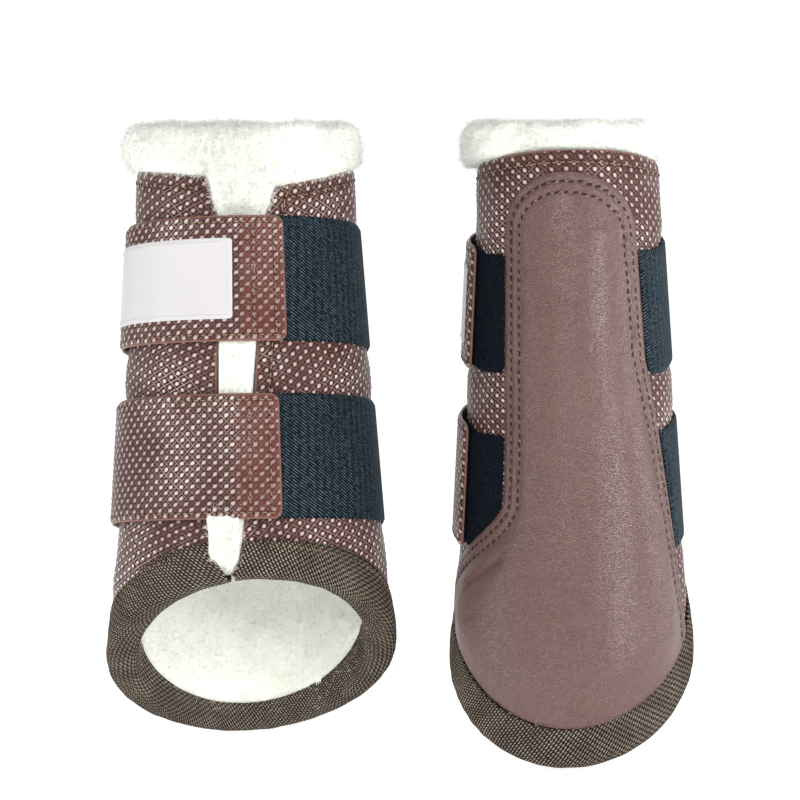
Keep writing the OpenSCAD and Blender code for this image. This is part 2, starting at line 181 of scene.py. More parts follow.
class FinishSizes(PropertyGroup):
    """What the leather worker and the weaver add."""
    shell_pitch: length("Shell dots", 5.9, "Distance between the shell's dots along a row")
    shell_row: length("Shell rows", 2.14, "Distance between the shell's rows of dots, which are staggered")
    tab_pitch: length("Tab dots", 4.4, "Distance between the tabs' dots along a row")
    tab_row: length("Tab rows", 2.38, "Distance between the tabs' rows of dots")
    dot_rise: length("Dot rise", 0.4, "How far an embossed dot stands out")
    shell_wall: length("Shell thickness", 1.3, "Thickness of the shell's leather")
    stitch: length("Stitch", 2.3, "Length of one stitch")
    stitch_pitch: length("Stitch pitch", 3.0, "Distance between stitches")
    thread: length("Thread", 0.5, "Thickness of the sewing thread")
    rib: length("Rib", 1.5, "Distance between the ribs of the binding tape, along it")
    rib_slant: share("Rib slant", 0.7, "How far a rib shifts along the tape for each length across it")
    twill: length("Twill", 1.78, "Distance between the diagonal lines of the elastic, along it")
    twill_slant: share("Twill slant", 1.33, "How far a line shifts along the elastic for each length across")
    fibre: length("Fibre", 2.4, "Length of the fleece's fibres")
    fibres: IntProperty(name="Fibres", description="Number of fibres on each lining", default=42000)


class BootColours(PropertyGroup):
    """Colours, as linear light."""
    leather: colour("Leather", (0.062, 0.010, 0.007), "Ground of the embossed leather")
    leather_dome: colour("Domes", (0.150, 0.024, 0.015), "Flanks of the embossed domes")
    leather_pressed: colour("Pressed leather", (0.12, 0.023, 0.015), "Where the tabs' ends are pressed flat")
    # The dots' tip colour is partly the leather's own pale tips and partly a painted highlight.
    dot: colour("Dots", (0.80, 0.78, 0.75), "Tips of the embossed dots")
    pad: colour("Pad leather", (0.150, 0.062, 0.050), "Smooth leather of the strike pad")
    thread: colour("Thread", (0.30, 0.20, 0.12), "Sewing thread")
    hole: colour("Needle holes", (0.02, 0.009, 0.007), "Shadowed needle holes")
    fleece: colour("Fleece", (0.86, 0.88, 0.81), "Fleece pile")
    tape: colour("Binding", (0.012, 0.008, 0.006), "Woven binding tape")
    tape_light: colour("Binding ribs", (0.34, 0.285, 0.225), "Raised threads of the tape")
    elastic: colour("Elastic", (0.002, 0.005, 0.009), "Navy elastic")
    elastic_light: colour("Elastic threads", (0.062, 0.098, 0.122), "Raised threads of the elastic")
    loop: colour("Loop pile", (0.005, 0.008, 0.014), "Pile of the loop strips")
    label: colour("Label", (0.57, 0.555, 0.55), "Bare satin label")
    foam: colour("Foam", (0.04, 0.04, 0.045), "Foam inside the wall")
    stage: colour("Stage", (0.90, 0.90, 0.90), "Floor and backdrop")


# The boots' form

def mix(low, high, t):
    return low + (high - low) * t


def clamp(x):
    return np.clip(x, 0.0, 1.0)


def smooth(x):
    t = clamp(x)
    return t * t * (3 - 2 * t)


def signed(a):
    """The same angle, from minus half a turn to half a turn."""
    return (a + PI) % (2 * PI) - PI


def waves(points, wavelength, seed, count=14):
    """Soft noise from -1 to 1 over points, a sum of plane waves in all directions."""
    rng = np.random.default_rng(seed)
    ways = rng.normal(size=(count, 3))
    ways /= np.linalg.norm(ways, axis=1)[:, None]
    turns = 2 * PI / (wavelength * rng.uniform(0.7, 1.5, count))
    phases = rng.uniform(0, 2 * PI, count)
    return np.sin(points @ (ways * turns[:, None]).T + phases).sum(1) / math.sqrt(count) / 1.6


class Boot:
    """The form of one boot. a is the angle from the front towards the elastic, z the height above the
    rim's lowest point, and d the distance outside the shell's outer face."""

    def __init__(self, side):
        scene = bpy.context.scene
        self.side = side
        self.form = scene.boot_form
        self.strap = scene.boot_straps
        self.pad = scene.boot_pad
        self.finish = scene.boot_finish
        form = self.form
        mount = {m["name"]: m for m in frame["record"]["mounts"]}[f"{side}_leg"]
        self.centre = mount["pos_m"][0]
        self.leg_length = mount["dims"]["length_mm"] * MM
        right = side == "right"
        self.width = form.right_width if right else form.left_width
        self.depth = form.right_depth if right else form.left_depth
        self.shift = self.strap.right_shift if right else self.strap.left_shift
        self.overhang = form.right_overhang if right else form.left_overhang
        self.lean = form.right_lean if right else form.left_lean
        self.mirrored = not right
        self.leg_middle = form.leg_bottom + self.leg_length / 2
        self.crown = form.shell_top + form.back_rise
        shift = max(self.strap.right_shift, self.strap.left_shift)
        self.strap_line = self.strap.upper_height + self.strap.width / 2 + shift
        self.table = np.linspace(-2 * PI, 3 * PI, 6001)
        pace = np.hypot(self.width * np.cos(self.table), self.depth * np.sin(self.table))
        steps = (pace[1:] + pace[:-1]) / 2 * np.diff(self.table)
        self.arcs = np.concatenate([[0], np.cumsum(steps)])
        self.slope = (form.rim_radius - form.top_radius) / self.crown

    def taper(self, z):
        """Mean radius of the shell."""
        form = self.form
        t = clamp((self.crown - z) / self.crown)
        return form.top_radius + (form.rim_radius - form.top_radius) * t ** form.taper_power

    def taper_height(self, radius):
        form = self.form
        t = clamp((radius - form.top_radius) / (form.rim_radius - form.top_radius))
        return self.crown * (1 - t ** (1 / form.taper_power))

    def at(self, a, z, d):
        """Places in the row frame."""
        a, z, d = np.broadcast_arrays(a, z, d)
        r = self.taper(z)
        y = -(self.depth * r + d) * np.cos(a)
        x = self.centre + (self.width * r + d) * np.sin(a)
        return np.stack([x, -y if self.mirrored else y, z - self.leg_middle], -1)

    def outward(self, a, z):
        """Directions away from the leg, square to the form."""
        step = 0.01
        along = self.at(a + step, z, 0.0) - self.at(a - step, z, 0.0)
        up = self.at(a, z + MM, 0.0) - self.at(a, z - MM, 0.0)
        n = np.cross(along, up)
        n = -n if self.mirrored else n
        return n / np.linalg.norm(n, axis=-1, keepdims=True)

    def arc(self, a, origin=0.0):
        """Way round from an angle to another, for a mean radius of 1."""
        return np.interp(a, self.table, self.arcs) - np.interp(origin, self.table, self.arcs)

    def arc_angle(self, arc, origin=0.0):
        return np.interp(arc + np.interp(origin, self.table, self.arcs), self.arcs, self.table)

    def unroll(self, a, z):
        """Place on the flat leather that wraps the cone, from the back's middle at the crown."""
        reach = self.taper(z) / self.slope
        turn = self.arc(a, PI) * self.slope
        return reach * np.sin(turn), self.form.top_radius / self.slope - reach * np.cos(turn)

    def roll_up(self, u, v):
        """Angle and height of a place on the flat leather."""
        down = self.form.top_radius / self.slope - v
        reach = np.hypot(u, down)
        return self.arc_angle(np.arctan2(u, down) / self.slope, PI), self.taper_height(reach * self.slope)

    def rim(self, a):
        return self.form.rim_slant * (1 + np.cos(a - self.form.rim_turn)) / 2

    def binding_height(self, a):
        side_slope = 1.3 * self.form.rim_slant / (2 * self.form.rim_radius)
        return self.form.binding_width * np.sqrt(1 + (side_slope * np.sin(a - self.form.rim_turn)) ** 2)

    def up_gap(self, z):
        return clamp((z - self.form.rim_slant) / (self.strap_line - self.form.rim_slant))

    def gap_edges(self, z):
        """Angles of the shell's edges beside the front gap, on the elastic's and on the tabs' side."""
        form = self.form
        middle = -form.gap_lean * (1 - self.up_gap(z))
        half = mix(form.gap_half_low, form.gap_half_angle, self.up_gap(z) ** 1.7)
        half = half * mix(0.2, 1.0, clamp((z - form.rim_slant) / form.gap_point))
        half = half + 0.7 * form.corner * smooth((z - self.strap_line) / (12 * MM))
        return middle + half, middle - half

    def from_gap(self, a):
        """How far a place is from the corner beside the gap, from 0 to 1."""
        return clamp((np.abs(signed(a)) - self.form.gap_half_angle) / self.form.corner)

    def top_line(self, a):
        """Height of the shell's top edge, which falls towards the gap."""
        form = self.form
        a = signed(a)
        fall = form.flap_slope * clamp(1 - (a - math.radians(17)) / math.radians(60)) ** 1.3
        fall = np.where(a >= 0, fall, 1 * MM * clamp(1 + (a + math.radians(17)) / math.radians(30)))
        return form.shell_top + form.back_rise * ((1 - np.cos(a)) / 2) ** 2 - fall

    def top_edge(self, a):
        """The same where the fleece rolls over it, down in the gap to just above the upper strap."""
        return mix(self.top_line(a), self.strap_line + 1.2 * MM, (1 - self.from_gap(a)) ** 2.5)

    def seam(self, which):
        return getattr(self.strap, f"{which}_seam")

    def strap_middle(self, which, a):
        """Height of a strap's middle line, which dips at the sides."""
        height = self.strap.upper_height if which == "upper" else self.strap.lower_height
        dip = self.strap.upper_dip if which == "upper" else self.strap.lower_dip
        return height + self.shift - dip * (np.minimum(np.abs(a), 2 * PI / 3) / (PI / 2)) ** 2

    def strap_radius(self, which):
        return self.taper(self.strap_middle(which, 0.0))

    def pad_edges(self, z):
        """Angles of the pad's edges from the back, on the elastic's and on the tabs' side."""
        pad = self.pad
        widen = pad.widen_top - self.form.rim_slant / 2 - self.form.binding_width
        elastic = mix(pad.half_elastic, pad.low_elastic, clamp((pad.widen_top - z) / widen))
        tab = mix(pad.half_tab, pad.low_tab, smooth((pad.sweep_top - z) / pad.sweep))
        return elastic - self.pad_middle(z), tab + self.pad_middle(z)

    def pad_middle(self, z):
        """Angle from the back to the middle of the leaning pad."""
        pad = self.pad
        return pad.lean * clamp((z - pad.lean_start) / (pad.top - pad.lean_start))

    def pad_sides(self, z, narrow_least=0.0):
        """Angles of the pad's edges round the boot, closing in to the top of the arch."""
        t = clamp((z - self.pad.top + self.pad.arch) / self.pad.arch)
        narrow = np.maximum(np.sqrt(np.maximum(0.0, 1 - t ** 2)), narrow_least)
        elastic, tab = self.pad_edges(z)
        middle = self.pad_middle(z)
        return PI + middle - (elastic + middle) * narrow, PI + middle + (tab - middle) * narrow


# Making meshes

def select_only(obj):
    bpy.ops.object.select_all(action="DESELECT")
    obj.select_set(True)
    bpy.context.view_layer.objects.active = obj


def edit(obj, *operators):
    """Runs edit-mode operators on the whole of a piece."""
    select_only(obj)
    bpy.ops.object.mode_set(mode="EDIT")
    bpy.ops.mesh.select_all(action="SELECT")
    for operator in operators:
        operator()
    bpy.ops.object.mode_set(mode="OBJECT")


def apply_modifier(obj, kind, **settings):
    select_only(obj)
    modifier = obj.modifiers.new(kind.title(), kind)
    for key, value in settings.items():
        setattr(modifier, key, value)
    bpy.ops.object.modifier_apply(modifier=modifier.name)


def lay_out(obj, flat):
    """Gives a piece its flat pattern, in metres, as its UV map."""
    layer = obj.data.uv_layers.new(name="Pattern") if not obj.data.uv_layers else obj.data.uv_layers[0]
    corners = np.empty(len(obj.data.loops), np.int32)
    obj.data.loops.foreach_get("vertex_index", corners)
    layer.data.foreach_set("uv", np.asarray(flat, np.float32)[corners].ravel())


def write_attribute(obj, name, values):
    layer = obj.data.attributes.new(name, "FLOAT", "POINT")
    layer.data.foreach_set("value", np.asarray(values, np.float32))


def new_mesh(name, points, faces, flat=None, mirrored=False, **attributes):
    if mirrored:
        faces = [face[::-1] for face in faces]
    mesh = bpy.data.meshes.new(name)
    mesh.from_pydata(np.asarray(points).tolist(), [], faces)
    obj = bpy.data.objects.new(name, mesh)
    bpy.context.scene.collection.objects.link(obj)
    if flat is not None:
        lay_out(obj, flat)
    for key, values in attributes.items():
        write_attribute(obj, key, values)
    select_only(obj)
    bpy.ops.object.shade_smooth()
    return obj


def vertices(obj):
    co = np.empty(len(obj.data.vertices) * 3)
    obj.data.vertices.foreach_get("co", co)
    return co.reshape(-1, 3)


def set_vertices(obj, points):
    obj.data.vertices.foreach_set("co", np.asarray(points, float).ravel())
    obj.data.update()


def face_places(obj):
    """Middles and directions of a piece's small faces that look away from its boot's leg."""
    data = obj.data
    middles, normals = np.empty(len(data.polygons) * 3), np.empty(len(data.polygons) * 3)
    data.polygons.foreach_get("center", middles)
    data.polygons.foreach_get("normal", normals)
    middles, normals = middles.reshape(-1, 3), normals.reshape(-1, 3)
    centre = 0.0 if obj.name.startswith("right") else frame["record"]["mounts"][1]["pos_m"][0]
    outward = (middles[:, 0] - centre) * normals[:, 0] + middles[:, 1] * normals[:, 1]
    keep = outward > 0.5 * np.hypot(middles[:, 0] - centre, middles[:, 1])
    return middles[keep], normals[keep]


def own(obj, body, slot, material, *nodes):
    """Finishes a piece: its body, its material and the solids it stands for. slot, its slot in the record, is
    not used.
    """
    obj.data.materials.clear()
    obj.data.materials.append(material)
    if body is not None:
        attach(obj, body)
    if nodes:
        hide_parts(*nodes)
    return obj


def cut_sheet(inside, low, high, step, block=6):
    """Cuts a flat sheet of small cells to an outline. inside is positive on the sheet. The top keeps every
    cell, and the under face joins them into blocks where it can. Returns the points, both lists of faces
    and the edges along the outline, with the sheet on their left."""
    nu = int(math.ceil((high[0] - low[0]) / step[0] / block)) * block
    nv = int(math.ceil((high[1] - low[1]) / step[1] / block)) * block
    first = (round(low[0] / step[0]), round(low[1] / step[1]))
    u, v = np.meshgrid((first[0] + np.arange(nu + 1)) * step[0], (first[1] + np.arange(nv + 1)) * step[1])
    level = inside(u, v)
    level = np.where(np.abs(level) < 1e-6, 1e-6, level)
    on = level > 0
    corners = np.stack([on[:-1, :-1], on[:-1, 1:], on[1:, 1:], on[1:, :-1]])
    full = corners.all(0)
    partial = corners.any(0) & ~full
    number = np.full(on.shape, -1)
    number[on] = np.arange(on.sum())
    points = [np.stack([u[on], v[on]], 1)]
    crossings = {}

    def crossing(p, q):
        """The point where the outline cuts the side between two nodes."""
        key = (min(p, q), max(p, q))
        if key not in crossings:
            crossings[key] = on.sum() + len(crossings)
            t = level[p] / (level[p] - level[q])
            points.append(np.array([[mix(u[p], u[q], t), mix(v[p], v[q], t)]]))
        return int(crossings[key])

    js, is_ = np.nonzero(full)
    quads = np.stack([number[js, is_], number[js, is_ + 1], number[js + 1, is_ + 1], number[js + 1, is_]], 1)
    blocks = full.reshape(nv // block, block, nu // block, block).all((1, 3))
    in_block = np.repeat(np.repeat(blocks, block, 0), block, 1)
    trimmed, outline = [], []
    for j, i in zip(*np.nonzero(partial)):
        cell = [(j, i), (j, i + 1), (j + 1, i + 1), (j + 1, i)]
        face, leaving = [], None
        for p, q in zip(cell, cell[1:] + cell[:1]):
            if on[p]:
                face.append(int(number[p]))
            if on[p] != on[q]:
                face.append(crossing(p, q))
                if on[p]:
                    leaving = face[-1]
                elif leaving is not None:
                    outline.append((leaving, face[-1]))
                    leaving = None
                else:
                    entry = face[-1]
        if leaving is not None:
            outline.append((leaving, entry))
        trimmed.append(face)
    top = quads.tolist() + trimmed
    under = quads[~in_block[js, is_]].tolist() + trimmed
    padded = np.pad(blocks, 1)
    for bj, bi in zip(*np.nonzero(blocks)):
        j, i = bj * block, bi * block
        sides = [([(j, i + k) for k in range(block)], padded[bj, bi + 1]),
                 ([(j + k, i + block) for k in range(block)], padded[bj + 1, bi + 2]),
                 ([(j + block, i + block - k) for k in range(block)], padded[bj + 2, bi + 1]),
                 ([(j + block - k, i) for k in range(block)], padded[bj + 1, bi])]
        under.append([int(number[p]) for line, whole in sides for p in (line[:1] if whole else line)])
    return np.concatenate(points), top, under, outline


def wrap_panel(name, boot, inside, low, high, step, wrap, base, wall, rise=None, lift=None, **attributes):
    """Leather or cloth cut to an outline and wrapped on the boot. Its edge is rounded. rise is the relief on
    its face and lift what raises the whole of it. These and each attribute are functions of the place on
    the flat leather, and inside is how far a place is from the outline."""
    flat, top, under, outline = cut_sheet(inside, low, high, step)
    u, v = flat.T
    edge = inside(u, v)
    rounding = 0.45 * wall * (1 - clamp(edge / wall)) ** 2
    ring = np.array(sorted({p for pair in outline for p in pair}))
    place = {int(p): k for k, p in enumerate(ring)}
    reach = 0.2 * MM
    slope = np.stack([inside(u[ring] + reach, v[ring]) - inside(u[ring] - reach, v[ring]),
                      inside(u[ring], v[ring] + reach) - inside(u[ring], v[ring] - reach)], 1)
    slope /= np.maximum(np.linalg.norm(slope, axis=1), 1e-9)[:, None]
    bulged = flat[ring] - slope * 0.3 * wall
    relief = 0.0 if rise is None else rise(u, v) * smooth(edge / (1.6 * MM))
    base_at = base + (0.0 if lift is None else lift(u, v))
    base_side = base + (0.0 if lift is None else lift(*bulged.T))
    a, z = wrap(u, v)
    outer = boot.at(a, z, base_at + wall + relief - rounding)
    inner = boot.at(a, z, base_at)
    side = boot.at(*wrap(*bulged.T), base_side + 0.45 * wall)
    count = len(flat)
    faces = top + [[count + p for p in face[::-1]] for face in under]
    for p, q in outline:
        p_side, q_side = 2 * count + place[p], 2 * count + place[q]
        faces += [[q, p, p_side, q_side], [q_side, p_side, count + p, count + q]]
    whole = np.concatenate([flat, flat, flat[ring]])
    values = {key: f(*whole.T) for key, f in attributes.items()}
    obj = new_mesh(name, np.concatenate([outer, inner, side]), faces, whole, boot.mirrored, **values)
    edit(obj, bpy.ops.mesh.delete_loose)
    return obj


def stitch_shape():
    """One stitch, a short thread that dips into the leather at both ends, along X with Z up."""
    bpy.ops.object.select_all(action="DESELECT")
    bpy.ops.mesh.primitive_uv_sphere_add(segments=6, ring_count=5, radius=0.5)
    obj = bpy.context.active_object
    edit(obj, lambda: bpy.ops.transform.rotate(value=PI / 2, orient_axis="Y", center_override=(0, 0, 0)))
    points = vertices(obj)
    faces = [list(p.vertices) for p in obj.data.polygons]
    mesh = obj.data
    bpy.data.objects.remove(obj)
    bpy.data.meshes.remove(mesh)
    points[:, 2] -= 1.4 * points[:, 0] ** 2
    return points, faces


def repeat_shape(name, shape, places, along, up, size):
    """Copies of a small shape in one mesh, each turned along a direction with its Z up."""
    points, faces = shape
    across = np.cross(up, along)
    across /= np.linalg.norm(across, axis=1)[:, None]
    along = np.cross(across, up)
    scaled = points[None] * np.asarray(size)[None, None]
    copies = (places[:, None] + scaled[..., :1] * along[:, None] + scaled[..., 1:2] * across[:, None]
              + scaled[..., 2:] * up[:, None])
    starts = np.arange(len(places)) * len(points)
    everything = [[int(s + p) for p in face] for s in starts for face in faces]
    return new_mesh(name, copies.reshape(-1, 3), everything)


def even_steps(points, pitch):
    """Places a pitch apart along a line, with the direction of the line at each."""
    pieces = np.linalg.norm(np.diff(points, axis=0), axis=1)
    run = np.concatenate([[0], np.cumsum(pieces)])
    count = max(2, int(run[-1] / pitch))
    marks = (np.arange(count) + 0.5) * run[-1] / count
    steps = np.stack([np.interp(marks, run, points[:, k]) for k in range(points.shape[1])], 1)
    ahead = np.stack([np.interp(marks + pitch / 4, run, points[:, k]) for k in range(points.shape[1])], 1)
    behind = np.stack([np.interp(marks - pitch / 4, run, points[:, k]) for k in range(points.shape[1])], 1)
    return steps, ahead - behind


def sew(name, boot, rows, seed, body, thread=None, slot="tab_leather", pitch=None, hole=(1.0, 0.8),
        turn=0.0, holes=None, shown=1.0):
    """Rows of stitches, each given as a line of angles, heights and depths on the boot. hole is the length
    and width of a needle hole in millimetres, turn is how far it is turned from the row, and shown is the
    share of a stitch's thread that shows."""
    finish = boot.finish
    rng = np.random.default_rng(seed)
    pitch = pitch or finish.stitch_pitch
    places, along, up = [], [], []
    for a, z, d in rows:
        line, way = even_steps(boot.at(a, z, d), pitch)
        angles = np.arctan2(line[:, 0] - boot.centre, (line[:, 1] if boot.mirrored else -line[:, 1]))
        normal = boot.outward(angles, line[:, 2] + boot.leg_middle)
        way = way / np.linalg.norm(way, axis=1)[:, None]
        way = way + 0.10 * rng.normal(size=(len(way), 1)) * np.cross(normal, way)
        places.append(line)
        along.append(way)
        up.append(normal)
    places, along, up = (np.concatenate(x) for x in (places, along, up))
    size = np.array([shown * finish.stitch * pitch / finish.stitch_pitch, finish.thread, finish.thread * 0.8])
    obj = repeat_shape(name, stitch_shape(), places + up * 0.1 * finish.thread, along, up, size)
    own(obj, body, slot, thread or sewing_thread())
    way = along / np.linalg.norm(along, axis=1)[:, None]
    slanted = math.cos(turn) * way + math.sin(turn) * np.cross(up, way)
    # Marks at the needle holes between stitches, by default dark as a painted shadow in each hole.
    between = places - way * pitch / 2 + up * 0.08 * MM
    marks = repeat_shape(f"{name}_holes", stitch_shape(), between, slanted, up,
                         np.array([hole[0], hole[1], 0.5]) * MM)
    own(marks, body, slot, holes or needle_hole_shadows())
    return obj


def grow_fibres(name, places, normals, size, spread, seed, width):
    """Fine closed spikes that lean at random from their roots."""
    rng = np.random.default_rng(seed)
    count = len(places)
    lean = normals + spread * rng.normal(size=(count, 3))
    lean /= np.linalg.norm(lean, axis=1)[:, None]
    side = np.cross(lean, rng.normal(size=(count, 3)))
    side /= np.linalg.norm(side, axis=1)[:, None]
    other = np.cross(lean, side)
    long = size * rng.uniform(0.55, 1.15, (count, 1))
    root = places - 0.25 * long * lean
    foot = [root + width * (math.cos(t) * side + math.sin(t) * other) for t in (0, 2 * PI / 3, 4 * PI / 3)]
    points = np.stack([*foot, root + 1.25 * long * lean], 1).reshape(-1, 3)
    starts = 4 * np.arange(count)[:, None, None]
    faces = (starts + np.array([[0, 2, 1], [0, 1, 3], [1, 2, 3], [2, 0, 3]])).reshape(-1, 3)
    return new_mesh(name, points, faces.tolist())


# Finishes

def node(tree, kind, inputs=None, **settings):
    """A shader node. An input is a value or the socket that feeds it."""
    made = tree.nodes.new(f"ShaderNode{kind}")
    for key, value in settings.items():
        setattr(made, key, value)
    for key, value in (inputs or {}).items():
        if isinstance(value, bpy.types.NodeSocket):
            tree.links.new(value, made.inputs[key])
        else:
            made.inputs[key].default_value = value
    return made


def calc(tree, operation, *values, clamped=False):
    return node(tree, "Math", dict(enumerate(values)), operation=operation, use_clamp=clamped).outputs[0]


def ramp(tree, value, low, high, smoothly=True):
    """0 at low and 1 at high, which may be the lower of the two."""
    made = node(tree, "MapRange", {"Value": value, "From Min": low, "From Max": high},
                interpolation_type="SMOOTHSTEP" if smoothly else "LINEAR")
    return made.outputs["Result"]


def blend_colours(tree, factor, first, second):
    made = node(tree, "Mix", data_type="RGBA")
    for socket, value in ((made.inputs[0], factor), (made.inputs[6], first), (made.inputs[7], second)):
        if isinstance(value, bpy.types.NodeSocket):
            tree.links.new(value, socket)
        elif socket.type == "RGBA":
            socket.default_value = (*value, 1.0)[:4]
        else:
            socket.default_value = value
    return made.outputs[2]


def noise(tree, vector, scale, detail=2.0, roughness=0.5, **inputs):
    made = node(tree, "TexNoise", {"Vector": vector, "Scale": scale, "Detail": detail,
                                   "Roughness": roughness, **inputs})
    return made.outputs["Fac"]


def effect(name, inputs, outputs):
    """A node group with named inputs and outputs, empty if it is new. Returns it and whether it is new."""
    found = bpy.data.node_groups.get(name)
    if found:
        return found, None, None
    group = bpy.data.node_groups.new(name, "ShaderNodeTree")
    for key, value in inputs.items():
        kind = "NodeSocketVector" if value is None else "NodeSocketFloat"
        socket = group.interface.new_socket(name=key, in_out="INPUT", socket_type=kind)
        if value is not None:
            socket.default_value = value
    for key in outputs:
        group.interface.new_socket(name=key, in_out="OUTPUT", socket_type="NodeSocketFloat")
    return group, group.nodes.new("NodeGroupInput").outputs, \
        group.nodes.new("NodeGroupOutput").inputs


def place_effect(tree, group, **inputs):
    made = node(tree, "Group", node_tree=group)
    for key, value in inputs.items():
        socket = made.inputs[key.replace("_", " ").capitalize()]
        if isinstance(value, bpy.types.NodeSocket):
            tree.links.new(value, socket)
        else:
            socket.default_value = value
    return made.outputs


def embossing():
    """Staggered domes, their star-shaped tips, which are pale in the leather and also carry a painted
    highlight, the hollow round each, which takes painted shade, and the net of ridges between them.
    """
    group, given, result = effect("Embossing", {"Pattern": None, "Pitch": 4.4 * MM, "Row": 2.4 * MM},
                                  ("Dome", "Tip", "Hollow", "Line"))
    if result is None:
        return group
    drift = node(group, "TexNoise", {"Vector": given["Pattern"], "Scale": 120.0})
    moved = node(group, "VectorMath", {0: drift.outputs["Color"], "Scale": 0.0008}, operation="SCALE")
    pattern = node(group, "VectorMath", {0: given["Pattern"], 1: moved.outputs[0]}, operation="ADD")
    parts = node(group, "SeparateXYZ", {0: pattern.outputs[0]}).outputs
    across = calc(group, "DIVIDE", calc(group, "SUBTRACT", parts[0], 0.0004), given["Pitch"])
    up = calc(group, "DIVIDE", calc(group, "SUBTRACT", parts[1], 0.0004),
              calc(group, "MULTIPLY", given["Row"], 2.0))
    ways = [calc(group, "ADD", across, up), calc(group, "SUBTRACT", across, up)]
    off = [calc(group, "SUBTRACT", way, calc(group, "ROUND", way)) for way in ways]
    du = calc(group, "MULTIPLY", calc(group, "ADD", *off), calc(group, "MULTIPLY", given["Pitch"], 0.5))
    dv = calc(group, "MULTIPLY", calc(group, "SUBTRACT", *off), given["Row"])
    away = calc(group, "SQRT", calc(group, "ADD", calc(group, "MULTIPLY", du, du),
                                    calc(group, "MULTIPLY", dv, dv)))
    size = [calc(group, "ABSOLUTE", x) for x in off]
    dome = ramp(group, away, 1.55 * MM, 0.2 * MM)
    group.links.new(dome, result["Dome"])
    arms = calc(group, "SQRT", calc(group, "MULTIPLY", *size))
    reach = calc(group, "MULTIPLY", given["Pitch"], 0.24)
    star = calc(group, "ADD", away, calc(group, "MULTIPLY", arms, reach))
    slanted = calc(group, "ABSOLUTE", calc(group, "SUBTRACT", du, dv))
    star = calc(group, "ADD", star, calc(group, "MULTIPLY", slanted, 0.35))
    ragged = calc(group, "MULTIPLY", noise(group, given["Pattern"], 620.0, 3.0, 0.6), 1.7 * MM)
    star = calc(group, "ADD", star, calc(group, "SUBTRACT", ragged, 0.85 * MM))
    # The tips: pale in the leather, and also a painted highlight on each dome.
    group.links.new(ramp(group, star, 1.55 * MM, 0.6 * MM), result["Tip"])
    # The hollow round each dome, where painted shade goes.
    rising, falling = ramp(group, away, 1.1 * MM, 1.5 * MM), ramp(group, away, 2.1 * MM, 1.6 * MM)
    group.links.new(calc(group, "MULTIPLY", rising, falling), result["Hollow"])
    near = [ramp(group, calc(group, "SUBTRACT", 0.5, x), 0.085, 0.02) for x in size]
    group.links.new(calc(group, "MAXIMUM", *near), result["Line"])
    return group


def leather_grain():
    """Pebbles with creases between them, and soft wrinkles along one direction."""
    group, given, result = effect("Leather grain", {"Place": None, "Pebble": 0.7 * MM, "Wrinkle": 0.3},
                                  ("Height", "Crease"))
    if result is None:
        return group
    scale = calc(group, "DIVIDE", 1.0, given["Pebble"])
    shaken = node(group, "VectorMath", {0: given["Place"]}, operation="ADD")
    jitter = node(group, "TexNoise", {"Vector": given["Place"], "Scale": 900.0})
    small = node(group, "VectorMath", {0: jitter.outputs["Color"], "Scale": 0.0005}, operation="SCALE")
    group.links.new(small.outputs[0], shaken.inputs[1])
    cells = node(group, "TexVoronoi", {"Vector": shaken.outputs[0], "Scale": scale},
                 feature="DISTANCE_TO_EDGE").outputs["Distance"]
    pebble = ramp(group, cells, 0.0, 0.22)
    stretched = node(group, "Mapping", {"Vector": given["Place"], "Rotation": (0.0, 0.0, 0.6),
                                        "Scale": (1.0, 0.22, 1.0)}).outputs[0]
    wrinkle = noise(group, stretched, 420.0, 3.0, 0.6)
    height = calc(group, "ADD", calc(group, "MULTIPLY", pebble, 0.6),
                  calc(group, "MULTIPLY", wrinkle, given["Wrinkle"]))
    group.links.new(height, result["Height"])
    group.links.new(calc(group, "SUBTRACT", 1.0, pebble), result["Crease"])
    return group


def threads():
    """Raised threads in lines that cross the cloth at a slant, each broken into stitches."""
    group, given, result = effect("Threads", {"Pattern": None, "Pitch": 0.8 * MM, "Slant": 1.0,
                                              "Broken": 0.5, "Length": 1.6 * MM}, ("Height", "Shade"))
    if result is None:
        return group
    parts = node(group, "SeparateXYZ", {0: given["Pattern"]}).outputs
    wobble = noise(group, given["Pattern"], 700.0, 2.0)
    line = calc(group, "DIVIDE", calc(group, "ADD", parts[0], calc(group, "MULTIPLY", parts[1],
                                                                   given["Slant"])), given["Pitch"])
    line = calc(group, "ADD", line, calc(group, "MULTIPLY", wobble, 0.25))
    ridge = calc(group, "ABSOLUTE", calc(group, "SINE", calc(group, "MULTIPLY", line, PI)))
    odd = calc(group, "MULTIPLY", calc(group, "FLOOR", line), 0.5)
    along = calc(group, "ADD", calc(group, "DIVIDE", parts[1], given["Length"]), odd)
    dash = calc(group, "ABSOLUTE", calc(group, "SINE", calc(group, "MULTIPLY", along, PI)))
    both = calc(group, "MULTIPLY", ridge, calc(group, "ADD", calc(group, "SUBTRACT", 1.0, given["Broken"]),
                                               calc(group, "MULTIPLY", dash, given["Broken"])))
    group.links.new(both, result["Height"])
    shade = calc(group, "MULTIPLY", both, calc(group, "ADD", 0.6, calc(group, "MULTIPLY", wobble, 0.8)))
    group.links.new(shade, result["Shade"])
    return group


def pile():
    """Curled pile, as heights and as a mask for painted shade at its roots."""
    group, given, result = effect("Pile", {"Place": None, "Curl": 2.0 * MM}, ("Height", "Root"))
    if result is None:
        return group
    scale = calc(group, "DIVIDE", 1.0, given["Curl"])
    curls = noise(group, given["Place"], scale, 4.0, 0.65, Distortion=1.2)
    fine = noise(group, given["Place"], calc(group, "MULTIPLY", scale, 5.0), 2.0)
    height = calc(group, "ADD", curls, calc(group, "MULTIPLY", fine, 0.35))
    group.links.new(height, result["Height"])
    group.links.new(ramp(group, curls, 0.52, 0.36), result["Root"])
    return group


